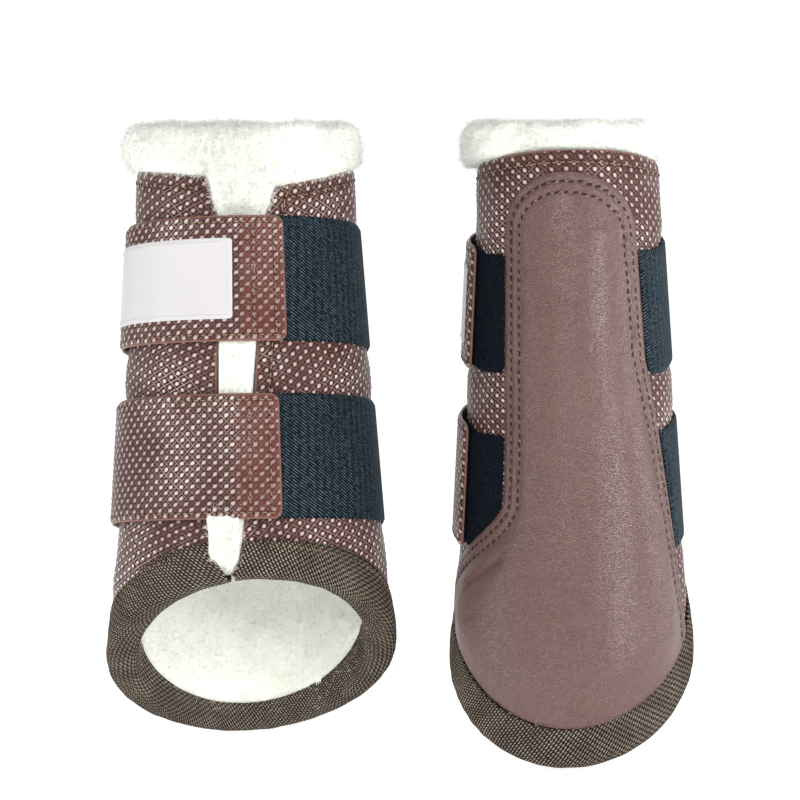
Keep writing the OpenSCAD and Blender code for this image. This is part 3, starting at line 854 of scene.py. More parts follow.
def material(name, build):
    """The named finish, built once. build gets the tree, the surface's shader and the colours."""
    found = bpy.data.materials.get(name)
    if found:
        return found
    made = bpy.data.materials.new(name)
    made.use_nodes = True
    tree = made.node_tree
    surface = tree.nodes["Principled BSDF"]
    build(tree, surface, bpy.context.scene.boot_colours)
    return made


def feed(tree, surface, colour=None, roughness=None, height=None, strength=0.5, distance=0.3 * MM):
    """Links a finish's colour, roughness and relief to its shader."""
    if colour is not None:
        tree.links.new(colour, surface.inputs["Base Color"])
    if roughness is not None:
        tree.links.new(roughness, surface.inputs["Roughness"])
    if height is not None:
        bump = node(tree, "Bump", {"Strength": strength, "Distance": distance, "Height": height})
        tree.links.new(bump.outputs[0], surface.inputs["Normal"])


def surface_places(tree):
    """The flat pattern and the place on the object, both in metres."""
    return (node(tree, "UVMap", uv_map="Pattern").outputs[0],
            node(tree, "TexCoord").outputs["Object"])


def embossed_leather(name, pitch, row):
    def build(tree, surface, colours):
        pattern, place = surface_places(tree)
        marks = place_effect(tree, embossing(), pattern=pattern, pitch=pitch, row=row)
        grain = place_effect(tree, leather_grain(), place=place, pebble=0.5 * MM, wrinkle=0.4)
        pressed = node(tree, "Attribute", attribute_name="pressed").outputs["Fac"]
        raised = calc(tree, "SUBTRACT", 1.0, calc(tree, "MULTIPLY", pressed, 0.5))
        # Random patches where the painted highlights on the ridges and tips are stronger.
        glare_patches = ramp(tree, noise(tree, place, 26.0, 4.0, 0.6), 0.40, 0.68)
        fine = noise(tree, place, 900.0, 3.0, 0.7)
        specks = ramp(tree, fine, 0.40, 0.60)
        ground = blend_colours(tree, marks["Dome"], colours.leather, colours.leather_dome)
        ground = blend_colours(tree, pressed, ground, colours.leather_pressed)
        # Painted shade in the hollow round each dome.
        hollow = calc(tree, "MULTIPLY", marks["Hollow"], calc(tree, "MULTIPLY", raised, 0.6))
        ground = blend_colours(tree, hollow, ground, (0.018, 0.004, 0.003))
        swirl = calc(tree, "MULTIPLY", grain["Crease"], calc(tree, "MULTIPLY", specks, 0.12))
        ground = blend_colours(tree, swirl, ground, (0.34, 0.22, 0.18))
        # The net of ridges is painted pale as a painted highlight, stronger in the random patches.
        shown = calc(tree, "ADD", 0.15, calc(tree, "MULTIPLY", glare_patches, 0.75))
        line = calc(tree, "MULTIPLY", calc(tree, "MULTIPLY", marks["Line"], raised),
                    calc(tree, "MULTIPLY", shown, ramp(tree, fine, 0.34, 0.52)))
        ground = blend_colours(tree, line, ground, (0.58, 0.48, 0.43))
        # The dots' tips are pale in the leather and also carry a painted highlight, stronger in the random
        # patches.
        tip_glare = calc(tree, "ADD", 0.5, calc(tree, "MULTIPLY", glare_patches, 0.5))
        tip_and_glint = calc(tree, "MULTIPLY", marks["Tip"], calc(tree, "MULTIPLY", tip_glare, raised))
        edge = node(tree, "Attribute", attribute_name="edge").outputs["Fac"]
        painted = ramp(tree, edge, -0.1 * MM, 0.5 * MM)
        seam = node(tree, "Attribute", attribute_name="groove").outputs["Fac"]
        colour = blend_colours(tree, calc(tree, "MULTIPLY", tip_and_glint, painted), ground, colours.dot)
        # Painted shade along the groove of the stitched turned edge.
        colour = blend_colours(tree, calc(tree, "MULTIPLY", seam, 0.6), colour, (0.02, 0.006, 0.005))
        colour = blend_colours(tree, painted, (0.28, 0.14, 0.105), colour)
        relief = calc(tree, "ADD", calc(tree, "MULTIPLY", marks["Dome"], raised),
                      calc(tree, "MULTIPLY", seam, -1.2))
        height = calc(tree, "ADD", relief, calc(tree, "ADD", calc(tree, "MULTIPLY", marks["Line"], 0.35),
                                                calc(tree, "MULTIPLY", grain["Height"], 0.22)))
        feed(tree, surface, colour, ramp(tree, fine, 1.5, -2.2, False), height, 1.0, 0.5 * MM)
        surface.inputs["Specular IOR Level"].default_value = 0.25
    return material(name, build)


def shell_leather():
    finish = bpy.context.scene.boot_finish
    return embossed_leather("Outer leather", finish.shell_pitch, finish.shell_row)


def tab_leather():
    finish = bpy.context.scene.boot_finish
    return embossed_leather("Tab leather", finish.tab_pitch, finish.tab_row)


def smooth_leather():
    def build(tree, surface, colours):
        _, place = surface_places(tree)
        grain = place_effect(tree, leather_grain(), place=place, pebble=0.75 * MM, wrinkle=0.6)
        patches = noise(tree, place, 22.0, 4.0, 0.55)
        light = blend_colours(tree, ramp(tree, patches, 0.35, 0.7), colours.pad, (0.185, 0.085, 0.070))
        # Painted highlight on the tops of the grain.
        high = calc(tree, "MULTIPLY", ramp(tree, grain["Height"], 0.66, 1.04), 0.5)
        light = blend_colours(tree, high, light, (0.30, 0.165, 0.14))
        # Painted shade in the grain's creases.
        colour = blend_colours(tree, calc(tree, "MULTIPLY", grain["Crease"], 0.7), light,
                               (0.06, 0.02, 0.016))
        # Painted shade along the grooves of the stitch rows.
        seam = node(tree, "Attribute", attribute_name="groove").outputs["Fac"]
        colour = blend_colours(tree, calc(tree, "MULTIPLY", seam, 0.55), colour, (0.03, 0.012, 0.010))
        feed(tree, surface, colour, ramp(tree, patches, -0.5, 2.15, False), grain["Height"], 1.0, 0.5 * MM)
        surface.inputs["Specular IOR Level"].default_value = 0.95
        surface.inputs["Coat Weight"].default_value = 0.1
        surface.inputs["Coat Roughness"].default_value = 0.45
    return material("Smooth leather", build)


def fleece_pile():
    def build(tree, surface, colours):
        _, place = surface_places(tree)
        wool = place_effect(tree, pile(), place=place, curl=2.2 * MM)
        patches = noise(tree, place, 60.0, 3.0)
        colour = blend_colours(tree, ramp(tree, patches, 0.35, 0.7), colours.fleece, (0.80, 0.81, 0.72))
        # Painted shade at the roots of the curls.
        colour = blend_colours(tree, calc(tree, "MULTIPLY", wool["Root"], 0.3), colour, (0.60, 0.59, 0.50))
        feed(tree, surface, colour, None, wool["Height"], 0.6, 0.8 * MM)
        surface.inputs["Roughness"].default_value = 0.95
        surface.inputs["Sheen Weight"].default_value = 0.6
        surface.inputs["Sheen Roughness"].default_value = 0.6
    return material("Fleece pile", build)


def fleece_fibres():
    def build(tree, surface, colours):
        _, place = surface_places(tree)
        shade = ramp(tree, noise(tree, place, 260.0, 2.0), 0.35, 0.65)
        feed(tree, surface, blend_colours(tree, shade, colours.fleece, (0.93, 0.94, 0.90)))
        surface.inputs["Roughness"].default_value = 0.8
        surface.inputs["Sheen Weight"].default_value = 0.5
    return material("Fleece fibres", build)


def woven_tape():
    def build(tree, surface, colours):
        finish = bpy.context.scene.boot_finish
        pattern, place = surface_places(tree)
        cloth = place_effect(tree, threads(), pattern=pattern, pitch=finish.rib, slant=finish.rib_slant,
                             broken=0.6, length=1.5 * MM)
        dust = noise(tree, place, 90.0, 4.0)
        light = blend_colours(tree, ramp(tree, dust, 0.3, 0.7), colours.tape_light, (0.22, 0.175, 0.135))
        colour = blend_colours(tree, ramp(tree, cloth["Shade"], 0.42, 0.9), colours.tape, light)
        fuzz = noise(tree, place, 2600.0, 2.0)
        height = calc(tree, "ADD", cloth["Height"], calc(tree, "MULTIPLY", fuzz, 0.3))
        feed(tree, surface, colour, None, height, 0.9, 0.5 * MM)
        surface.inputs["Roughness"].default_value = 0.9
        surface.inputs["Specular IOR Level"].default_value = 0.2
    return material("Woven tape", build)


def navy_elastic():
    def build(tree, surface, colours):
        finish = bpy.context.scene.boot_finish
        pattern, place = surface_places(tree)
        cloth = place_effect(tree, threads(), pattern=pattern, pitch=finish.twill, slant=finish.twill_slant,
                             broken=0.12, length=2.6 * MM)
        lint = ramp(tree, noise(tree, place, 60.0, 4.0), 0.35, 0.75)
        light = blend_colours(tree, lint, colours.elastic_light, (0.095, 0.140, 0.165))
        colour = blend_colours(tree, ramp(tree, cloth["Shade"], 0.76, 1.05), colours.elastic, light)
        feed(tree, surface, colour, None, cloth["Height"], 0.6, 0.3 * MM)
        surface.inputs["Roughness"].default_value = 0.7
        surface.inputs["Specular IOR Level"].default_value = 0.1
        surface.inputs["Sheen Weight"].default_value = 0.05
        surface.inputs["Sheen Roughness"].default_value = 0.3
        surface.inputs["Sheen Tint"].default_value = (0.35, 0.7, 0.85, 1.0)
    return material("Navy elastic", build)


def velour(name, curl, spark):
    def build(tree, surface, colours):
        _, place = surface_places(tree)
        nap = place_effect(tree, pile(), place=place, curl=curl)
        specks = ramp(tree, noise(tree, place, 1500.0, 2.0), 0.62, 0.75)
        colour = blend_colours(tree, calc(tree, "MULTIPLY", specks, spark), colours.loop, (0.09, 0.12, 0.15))
        feed(tree, surface, colour, None, nap["Height"], 0.8, 0.5 * MM)
        surface.inputs["Roughness"].default_value = 0.95
        surface.inputs["Specular IOR Level"].default_value = 0.1
    return material(name, build)


def loop_velour():
    return velour("Loop velour", 0.8 * MM, 0.7)


def hook_tape():
    return velour("Hook tape", 0.5 * MM, 0.35)


def sewing_thread():
    def build(tree, surface, colours):
        _, place = surface_places(tree)
        twist = noise(tree, place, 3200.0, 2.0)
        colour = blend_colours(tree, ramp(tree, twist, 0.35, 0.65), colours.thread, (0.34, 0.22, 0.13))
        feed(tree, surface, colour, None, twist, 0.5, 0.1 * MM)
        surface.inputs["Roughness"].default_value = 0.6
    return material("Sewing thread", build)


def white_thread():
    def build(tree, surface, colours):
        _, place = surface_places(tree)
        twist = noise(tree, place, 3200.0, 2.0)
        colour = blend_colours(tree, ramp(tree, twist, 0.35, 0.65), colours.label, (0.62, 0.62, 0.64))
        feed(tree, surface, colour, None, twist, 0.5, 0.1 * MM)
        surface.inputs["Roughness"].default_value = 0.6
    return material("White thread", build)


def needle_hole_shadows():
    # The needle holes are real; their dark colour is a painted shadow inside them.
    def build(tree, surface, colours):
        _, place = surface_places(tree)
        shade = ramp(tree, noise(tree, place, 1800.0, 2.0), 0.3, 0.7)
        feed(tree, surface, blend_colours(tree, shade, colours.hole, (0.035, 0.017, 0.014)))
        surface.inputs["Roughness"].default_value = 0.95
    return material("Needle holes", build)


def label_satin():
    def build(tree, surface, colours):
        pattern, place = surface_places(tree)
        cloth = place_effect(tree, threads(), pattern=pattern, pitch=0.34 * MM, slant=0.0, broken=0.2,
                             length=2.2 * MM)
        soil = ramp(tree, noise(tree, place, 45.0, 4.0), 0.5, 0.8)
        colour = blend_colours(tree, calc(tree, "MULTIPLY", soil, 0.25), colours.label, (0.46, 0.45, 0.455))
        feed(tree, surface, colour, None, cloth["Height"], 0.4, 0.1 * MM)
        surface.inputs["Roughness"].default_value = 0.38
        surface.inputs["Sheen Weight"].default_value = 0.2
    return material("Label satin", build)


def wall_foam():
    def build(tree, surface, colours):
        _, place = surface_places(tree)
        cells = node(tree, "TexVoronoi", {"Vector": place, "Scale": 1400.0}).outputs["Distance"]
        colour = blend_colours(tree, ramp(tree, cells, 0.1, 0.6), (0.015, 0.015, 0.018), colours.foam)
        feed(tree, surface, colour, None, cells, 0.6, 0.2 * MM)
        surface.inputs["Roughness"].default_value = 0.95
    return material("Wall foam", build)


def stage_paper():
    def build(tree, surface, colours):
        _, place = surface_places(tree)
        tone = noise(tree, place, 3.0, 2.0)
        dark = tuple(0.985 * c for c in colours.stage)
        feed(tree, surface, blend_colours(tree, tone, colours.stage, dark))
        surface.inputs["Roughness"].default_value = 0.9
        surface.inputs["Specular IOR Level"].default_value = 0.1
        surface.inputs["Emission Color"].default_value = (1.0, 1.0, 1.0, 1.0)
        surface.inputs["Emission Strength"].default_value = 0.7
    return material("Stage paper", build)


# The boots' pieces

class Outline:
    """A line on flat leather, and how far inside it a place is. An open one only gives distances."""

    def __init__(self, points, closed=True):
        self.start = np.asarray(points)
        self.end = np.roll(self.start, -1, 0)
        self.open = not closed
        if self.open:
            self.start, self.end = self.start[:-1], self.end[:-1]

    def __call__(self, u, v):
        shape = np.shape(u)
        places = np.stack([np.ravel(u), np.ravel(v)], 1)
        return np.concatenate([self.distance(part) for part in np.array_split(places, 40)]).reshape(shape)

    def distance(self, places):
        way = self.end - self.start
        away = places[:, None] - self.start[None]
        t = clamp((away * way).sum(-1) / (way ** 2).sum(-1))
        near = np.linalg.norm(away - t[..., None] * way, axis=-1).min(1)
        if self.open:
            return near
        over = (self.start[:, 1] > places[:, 1:]) != (self.end[:, 1] > places[:, 1:])
        rise = np.where(np.abs(way[:, 1]) < 1e-12, 1e-12, way[:, 1])
        left = places[:, :1] < self.start[:, 0] + (places[:, 1:] - self.start[:, 1]) * way[:, 0] / rise
        return np.where((over & left).sum(1) % 2 == 1, near, -near)


def rounded_box(low, high, radius):
    """How far inside a rectangle with rounded corners a place is."""
    middle, half = (np.add(low, high)) / 2, (np.subtract(high, low)) / 2

    def inside(u, v):
        x = np.abs(u - middle[0]) - half[0] + radius
        y = np.abs(v - middle[1]) - half[1] + radius
        return radius - np.hypot(np.maximum(x, 0), np.maximum(y, 0)) - np.minimum(np.maximum(x, y), 0)
    return inside


def dots(finish, pitch, row):
    """Relief of the embossing, whose lattice falls on the cut sheet's cells."""
    def rise(u, v):
        s, t = u / pitch + v / (2 * row), u / pitch - v / (2 * row)
        ds, dt = s - np.round(s), t - np.round(t)
        away = np.hypot(pitch * (ds + dt) / 2, row * (ds - dt))
        return finish.dot_rise * np.exp(-(away / (1.1 * MM)) ** 2)
    return rise


def rounded_corner(first, second, radius):
    """How far inside both of two edges a place is, with the corner between them rounded."""
    corner = radius - np.hypot(np.maximum(radius - first, 0), np.maximum(radius - second, 0))
    return np.where((first < radius) & (second < radius), corner, np.minimum(first, second))


def shell_edges(boot, low_gap, inset):
    """How far a place on the shell's flat leather is from its edges."""
    def inside(u, v):
        a, z = boot.roll_up(u, v)
        elastic, tab = boot.gap_edges(z)
        pace = boot.taper(z)
        sides = np.minimum((a - elastic) * pace, (2 * PI + tab - a) * pace) - inset
        slope = np.cos(np.arctan(boot.form.rim_slant / (2 * boot.form.rim_radius)
                                 * np.sin(a - boot.form.rim_turn)))
        top = rounded_corner(sides, boot.top_line(a) - z - inset, boot.form.corner_radius)
        return np.minimum((z - boot.rim(a) - low_gap) * slope, top)
    return inside


def free_leather(boot, a, z):
    """1 where the shell's face lies free, and 0 under the straps, the pad and the binding."""
    clear = np.ones(np.shape(z))
    for which in STRAPS:
        off = np.abs(z - boot.strap_middle(which, signed(a))) - boot.strap.width / 2
        clear = clear * smooth((off - 1 * MM) / (7 * MM))
    elastic, tab = boot.pad_edges(z)
    back = signed(a - PI)
    from_pad = np.maximum(back - tab, -back - elastic) * boot.taper(z)
    over = smooth((z - boot.pad.top) / (5 * MM))
    binding = z - boot.rim(a) - boot.binding_height(a)
    return clear * np.maximum(smooth(from_pad / (8 * MM)), over) * smooth(binding / (8 * MM))


def shell_range(boot):
    """Lowest and highest place of the shell's flat leather."""
    a = np.linspace(0, 2 * PI, 200)
    heights = np.concatenate([np.full(200, boot.crown), boot.rim(a), boot.top_edge(a)])
    u, v = boot.unroll(np.tile(a, 3), heights)
    margin = 6 * MM
    return (u.min() - margin, v.min() - margin), (u.max() + margin, v.max() + margin)


def build_shell(boot):
    finish, form = boot.finish, boot.form
    inside = shell_edges(boot, 2 * form.binding_wall, 0.0)
    pad = pad_outline(boot)
    relief = dots(finish, finish.shell_pitch, finish.shell_row)

    def rise(u, v):
        return relief(u, v) * smooth(-pad(u, v) / (2 * MM))

    def lift(u, v):
        """Soft waves and a slight swell where nothing holds the leather down."""
        a, z = boot.roll_up(u, v)
        waved = 0.5 * MM * waves(np.stack([u, v, 0 * u], -1), 21 * MM, 71)
        return free_leather(boot, a, z) * (0.6 * MM + waved)

    turned = 4.9 * MM

    def seam(u, v):
        """1 on the groove along the turned edges at the top and at the elastic side of the gap, which is
        pressed in and darkened as painted shade.
        """
        a, z = boot.roll_up(u, v)
        elastic, _ = boot.gap_edges(z)
        near = rounded_corner((a - elastic) * boot.taper(z), boot.top_line(a) - z, form.corner_radius)
        return np.exp(-((near - turned) / (0.8 * MM)) ** 2)

    low, high = shell_range(boot)
    shell = wrap_panel(f"{boot.side}_leather_shell", boot, inside, low, high,
                       (finish.shell_pitch / 6, finish.shell_row / 2), boot.roll_up,
                       -finish.shell_wall, finish.shell_wall, rise, lift, edge=inside, groove=seam)
    own(shell, "boots", "shell_leather", shell_leather(), f"{boot.side}_shell")
    a = np.linspace(form.gap_half_angle + 0.20, 2 * PI - form.gap_half_angle - 0.20, 300)
    z = boot.top_line(a) - turned
    depth = 0.35 * MM + lift(*boot.unroll(a, z))
    sew(f"{boot.side}_shell_stitches", boot, [(a, z, depth)], 11, "boots", slot="shell_leather")
    z = np.linspace(form.rim_slant + 30 * MM, boot.strap_line + 10 * MM, 120)
    elastic, _ = boot.gap_edges(z)
    a = elastic + turned / boot.taper(z)
    depth = 0.3 * MM + lift(*boot.unroll(a, z))
    sew(f"{boot.side}_flap_stitches", boot, [(a, z, depth)], 12, "boots", slot="shell_leather")


def build_padding(boot):
    form = boot.form
    inside = shell_edges(boot, 2 * form.binding_wall, 2 * MM)
    low, high = shell_range(boot)
    padding = wrap_panel(f"{boot.side}_wall_foam", boot, inside, low, high, (4 * MM, 4 * MM), boot.roll_up,
                         -4.8 * MM, 3 * MM)
    own(padding, "boots", "foam", wall_foam(), f"{boot.side}_padding")


def pad_low(boot, u):
    """Height of the pad's lower edge, at a share of the way from its elastic side."""
    pad, form = boot.pad, boot.form
    a = mix(PI - pad.low_elastic, PI + pad.low_tab, u)
    return boot.rim(a) + boot.binding_height(a) + form.binding_wall + 2 * boot.strap.layer_gap


SWEEP_SHARE = 9 / 22
ARCH_SHARE = 8 / 22


def pad_place(boot, u, v):
    """Angle and height of a place on the pad, from shares of the way across and up."""
    pad = boot.pad
    low = pad_low(boot, u)
    straight = 1 - SWEEP_SHARE - ARCH_SHARE
    arch = pad.top - pad.arch * (1 - np.cos(PI / 2 * clamp((1 - v) / ARCH_SHARE)))
    z = np.where(v < SWEEP_SHARE, mix(low, pad.sweep_top, v / SWEEP_SHARE),
                 np.where(v < 1 - ARCH_SHARE,
                          mix(pad.sweep_top, pad.top - pad.arch, (v - SWEEP_SHARE) / straight), arch))
    return mix(*boot.pad_sides(z), u), z


def pad_share(boot, a, z):
    """Shares of the way across and up the pad."""
    pad = boot.pad
    low_side, high_side = boot.pad_sides(z, narrow_least=0.14)
    u = (a - low_side) / (high_side - low_side)
    low = pad_low(boot, clamp(u))
    straight = 1 - SWEEP_SHARE - ARCH_SHARE
    turn = np.arccos(np.clip(1 - (pad.top - z) / pad.arch, -1, 1)) / (PI / 2)
    v = np.where(z < pad.sweep_top, SWEEP_SHARE * (z - low) / (pad.sweep_top - low),
                 np.where(z < pad.top - pad.arch,
                          SWEEP_SHARE + straight * (z - pad.sweep_top)
                          / (pad.top - pad.arch - pad.sweep_top),
                          1 - turn * ARCH_SHARE))
    return u, v


def pad_line(boot):
    """The pad's edge from its low corner on the elastic side, up, over the arch and down."""
    v = np.linspace(0, 1, 90)
    up = pad_place(boot, 0.0, v)
    down = pad_place(boot, 1.0, v[::-1][1:])
    return np.concatenate([up[0], down[0]]), np.concatenate([up[1], down[1]])


def pad_outline(boot):
    a, z = pad_line(boot)
    across = np.linspace(1, 0, 40)[1:-1]
    low = pad_place(boot, across, 0.0)
    u, v = boot.unroll(np.concatenate([a, low[0]]), np.concatenate([z, low[1]]))
    return Outline(np.stack([u, v], 1))


def offset_line(boot, a, z, inward):
    """A line on the flat leather moved sideways, to the right of its way, as angles and heights."""
    u, v = boot.unroll(a, z)
    du, dv = np.gradient(u), np.gradient(v)
    run = np.maximum(np.hypot(du, dv), 1e-12)
    return boot.roll_up(u + inward * dv / run, v - inward * du / run)


def build_pad(boot):
    gap, pad = boot.strap.layer_gap, boot.pad
    inside = pad_outline(boot)
    a, z = pad_line(boot)
    sewn = Outline(np.stack(boot.unroll(a, z), 1), closed=False)
    rows = (3.2 * MM, 7.2 * MM)

    creases = [Outline(np.stack(boot.unroll(PI + np.radians(turns), np.array(heights) * MM), 1), closed=False)
               for turns, heights in (((40, 47, 58), (84, 79, 73)), ((-36, -29, -22), (83, 86, 85)),
                                      ((-37, -31, -24), (168, 170, 168)), ((-44, -36), (64, 68)))]
    depths = (1.5 * MM, 0.35 * MM, 0.45 * MM, 0.3 * MM)
    widths = (2.6 * MM, 1.6 * MM, 1.8 * MM, 1.5 * MM)

    def lift(u, v):
        """The foam's swell inside the rows of stitches, less the creases."""
        a, z = boot.roll_up(u, v)
        _, up = pad_share(boot, a, z)
        side = np.sin(PI / 2 * clamp((sewn(u, v) - 6.2 * MM) / (21 * MM)))
        height = mix(0.35, 1.0, smooth((0.88 - up) / 0.5)) * smooth((up + 0.03) / 0.15)
        creased = sum(depth * np.exp(-(crease(u, v) / width) ** 2)
                      for crease, depth, width in zip(creases, depths, widths))
        return pad.bulge * side * height - creased * smooth((sewn(u, v) - 5 * MM) / (5 * MM))

    def channel(u, v):
        e = sewn(u, v)
        grooves = sum(np.exp(-((e - row) / (0.7 * MM)) ** 2) for row in rows)
        _, z = boot.roll_up(u, v)
        sides = smooth((z - pad_low(boot, 0.5)) / (14 * MM))
        roll = np.exp(-((e - 5.2 * MM) / (1.5 * MM)) ** 2)
        puckers = 0.1 * MM * waves(np.stack([u, v, 0 * u], -1), 7 * MM, 5)
        return sides * (0.7 * MM * roll - 0.45 * MM * grooves) + puckers

    # Where the stitch rows' grooves are darkened as painted shade.
    def groove(u, v):
        e = sewn(u, v)
        return sum(np.exp(-((e - row) / (0.45 * MM)) ** 2) for row in rows)

    low, high = inside.start.min(0) - 4 * MM, inside.start.max(0) + 4 * MM
    cover = wrap_panel(f"{boot.side}_strike_pad_cover", boot, inside, low, high, (1.1 * MM, 1.1 * MM),
                       boot.roll_up, gap, pad.wall, channel, lift, groove=groove)
    own(cover, "boots", "pad_leather", smooth_leather(), f"{boot.side}_strike_pad")
    lines = []
    for row in rows:
        row_a, row_z = offset_line(boot, a, z, row)
        depth = gap + pad.wall + lift(*boot.unroll(row_a, row_z)) - 0.25 * MM
        lines.append((row_a, row_z, depth))
    sew(f"{boot.side}_pad_stitches", boot, lines, 21, "boots", slot="pad_leather", pitch=3.7 * MM,
        hole=(2.9, 1.3), turn=math.radians(20), shown=0.4)

    def foam_inside(u, v):
        return np.minimum(lift(u, v) - 0.9 * MM, inside(u, v) - 9 * MM)

    foam = wrap_panel(f"{boot.side}_pad_foam", boot, foam_inside, low, high, (3 * MM, 3 * MM), boot.roll_up,
                      0.15 * MM, 0.3 * MM, lambda u, v: np.maximum(lift(u, v) - 0.5 * MM, 0.0))
    own(foam, "boots", "foam", wall_foam(), f"{boot.side}_pad_insert")


# The lining

def lining_section(boot, a):
    """The fleece's section at an angle, as points of an angle, a height and a depth. It runs up the outer
    face, over the roll, and down the inside."""
    form = boot.form
    outside = -5.1 * MM
    low = boot.rim(a) + 2 * form.binding_wall
    high = boot.top_edge(a) + 0.3 * MM
    top = form.shell_top + form.collar_height
    stand = smooth((math.radians(150) - abs(signed(a))) / math.radians(40))
    out = mix(-2.5 * MM, boot.overhang - boot.lean * math.sin(a), stand)
    away = float(boot.from_gap(a))

    def swell(z):
        """How far the pile stands out of the gap, as a tongue where it hangs over the binding's ends."""
        elastic, tab = boot.gap_edges(z)
        inner = min(elastic - signed(a), signed(a) - tab)
        in_gap = 6.3 * MM * smooth((inner + math.radians(0.5)) / math.radians(2.6)) * clamp(
            (z - form.rim_slant) / (10 * MM))
        low_end = smooth((z - form.rim_slant - 1 * MM) / (9 * MM))
        beside = math.radians(4.4 + 4.4 * low_end) - abs(signed(a) + math.radians(7.6 + 0.8 * low_end))
        tongue = smooth(beside / math.radians(3)) * smooth((116 * MM - z) / (10 * MM))
        return max(in_gap, 8.6 * MM * tongue * mix(0.6, 1.0, low_end))

    points = [(z, outside + swell(z)) for z in np.linspace(low, high, 40)]
    foot = mix(-0.5 * MM, 0.75 * out, away)
    roll = top - high
    points += [(high + 0.02 * roll, foot), (high + 0.16 * roll, mix(foot, out, 0.8)),
               (high + 0.38 * roll, out), (high + 0.62 * roll, out - 0.3 * MM),
               (high + 0.82 * roll, out - 1.4 * MM), (high + 0.95 * roll, out - 3.6 * MM)]

    def hollow(z, radius):
        share_x, share_y = boot.width * boot.taper(z), boot.depth * boot.taper(z)
        here = math.hypot(share_x * math.sin(a), share_y * math.cos(a))
        return z, radius - here

    def widened(z, thickness):
        """Depth of the inner face below the leg cavity."""
        flare = smooth((form.leg_bottom - z) / (50 * MM))
        return z, mix(form.leg_radius + 0.6 * MM - math.hypot(boot.width * boot.taper(z) * math.sin(a),
                                                             boot.depth * boot.taper(z) * math.cos(a)),
                      outside - thickness, flare)

    leg_top = form.leg_bottom + boot.leg_length
    points += [hollow(top, form.leg_radius + 5 * MM),
               hollow(mix(leg_top, top, 0.75), form.leg_radius + 2.4 * MM)]
    points += [hollow(z, form.leg_radius + 0.6 * MM) for z in np.linspace(leg_top, form.leg_bottom, 24)]
    band = low + boot.binding_height(a)
    flare_foot = mix(band, form.leg_bottom, 0.35)
    points += [widened(z, 8 * MM) for z in np.linspace(form.leg_bottom, flare_foot, 14)[1:]]
    points += [widened(z, mix(3.6 * MM, 5.2 * MM, t)) for z, t in zip(np.linspace(band, low, 8),
                                                                     np.linspace(1, 0, 8))]
    z, d = np.array([(float(z), float(d)) for z, d in points]).T
    return z, d


def build_lining(boot):
    form = boot.form
    columns, rows = 340, 160
    fine = np.linspace(-PI, PI, 4001)
    crowd = np.cumsum(1 + 2.2 * np.exp(-((fine + math.radians(6)) / math.radians(22)) ** 4))
    angles = np.interp(np.arange(columns) / columns, (crowd - crowd[0]) / (crowd[-1] - crowd[0]), fine)
    shares = np.linspace(0, 1, rows, endpoint=False)
    grid = []
    for a in angles:
        z, d = lining_section(boot, a)
        z, d = np.append(z, z[0]), np.append(d, d[0])
        x = boot.taper(z) + d
        run = np.concatenate([[0], np.cumsum(np.hypot(np.diff(z), np.diff(x)))])
        weight = np.concatenate([[0], np.cumsum(np.hypot(np.diff(z), np.diff(x))
                                                * np.where(z[1:] > boot.top_edge(a), 2.5, 1.0))])
        at = np.interp(shares, weight / weight[-1], run)
        grid.append(boot.at(a, np.interp(at, run, z), np.interp(at, run, d)))
    points = np.array(grid)
    for _ in range(3):
        points = (points + 0.5 * (np.roll(points, 1, 1) + np.roll(points, -1, 1))) / 2
    flat = np.stack(np.broadcast_arrays(angles[:, None] * form.top_radius, shares[None] * 0.5), -1)
    number = np.arange(columns * rows).reshape(columns, rows)
    right, up = np.roll(number, -1, 0), np.roll(number, -1, 1)
    faces = np.stack([number, right, np.roll(right, -1, 1), up], -1).reshape(-1, 4)
    lining = new_mesh(f"{boot.side}_fleece", points.reshape(-1, 3), faces.tolist(), flat.reshape(-1, 2),
                      boot.mirrored)
    normals = np.empty(len(lining.data.vertices) * 3)
    lining.data.vertices.foreach_get("normal", normals)
    normals = normals.reshape(-1, 3)
    places = vertices(lining)
    shown = fleece_shown(boot, places)
    tufts = (0.9 * MM * waves(places, 19 * MM, 30) + 0.6 * MM * waves(places, 7 * MM, 31)
             + 0.4 * MM * waves(places, 3 * MM, 32))
    set_vertices(lining, places + normals * (tufts * shown)[:, None])
    own(lining, "boots", "fleece", fleece_pile(), f"{boot.side}_fleece_lining")
    rng = np.random.default_rng(33)
    pool = rng.choice(len(places), boot.finish.fibres, p=shown / shown.sum())
    spread = 0.7 * MM * rng.normal(size=(boot.finish.fibres, 3))
    fibres = grow_fibres(f"{boot.side}_fleece_pile", vertices(lining)[pool] + spread, normals[pool],
                         boot.finish.fibre, 0.55, 34, 0.11 * MM)
    own(fibres, "boots", "fleece", fleece_fibres())


def fleece_shown(boot, places):
    """1 where the fleece can be seen, down to 0 where a layer covers it."""
    z = places[:, 2] + boot.leg_middle
    a = np.arctan2((places[:, 0] - boot.centre) / boot.width,
                   (places[:, 1] if boot.mirrored else -places[:, 1]) / boot.depth)
    out = np.hypot(places[:, 0] - boot.centre, places[:, 1]) - np.hypot(
        boot.width * boot.taper(z) * np.sin(a), boot.depth * boot.taper(z) * np.cos(a))
    elastic, tab = boot.gap_edges(z)
    in_gap = smooth((np.minimum(elastic - a, a - tab) - 0.02) / 0.05)
    over = smooth((z - boot.top_edge(a)) / (2 * MM))
    up = z - boot.rim(a)
    inner = (smooth((-5.5 * MM - out) / (2 * MM)) * smooth((up - 3 * MM) / (3 * MM))
             * smooth((85 * MM - up) / (25 * MM)))
    tongue = smooth((out + 1 * MM) / MM) * smooth((120 * MM - z) / (5 * MM))
    return np.clip(np.maximum.reduce([over, in_gap, tongue, 0.8 * inner]), 0.02, 1)


# The binding

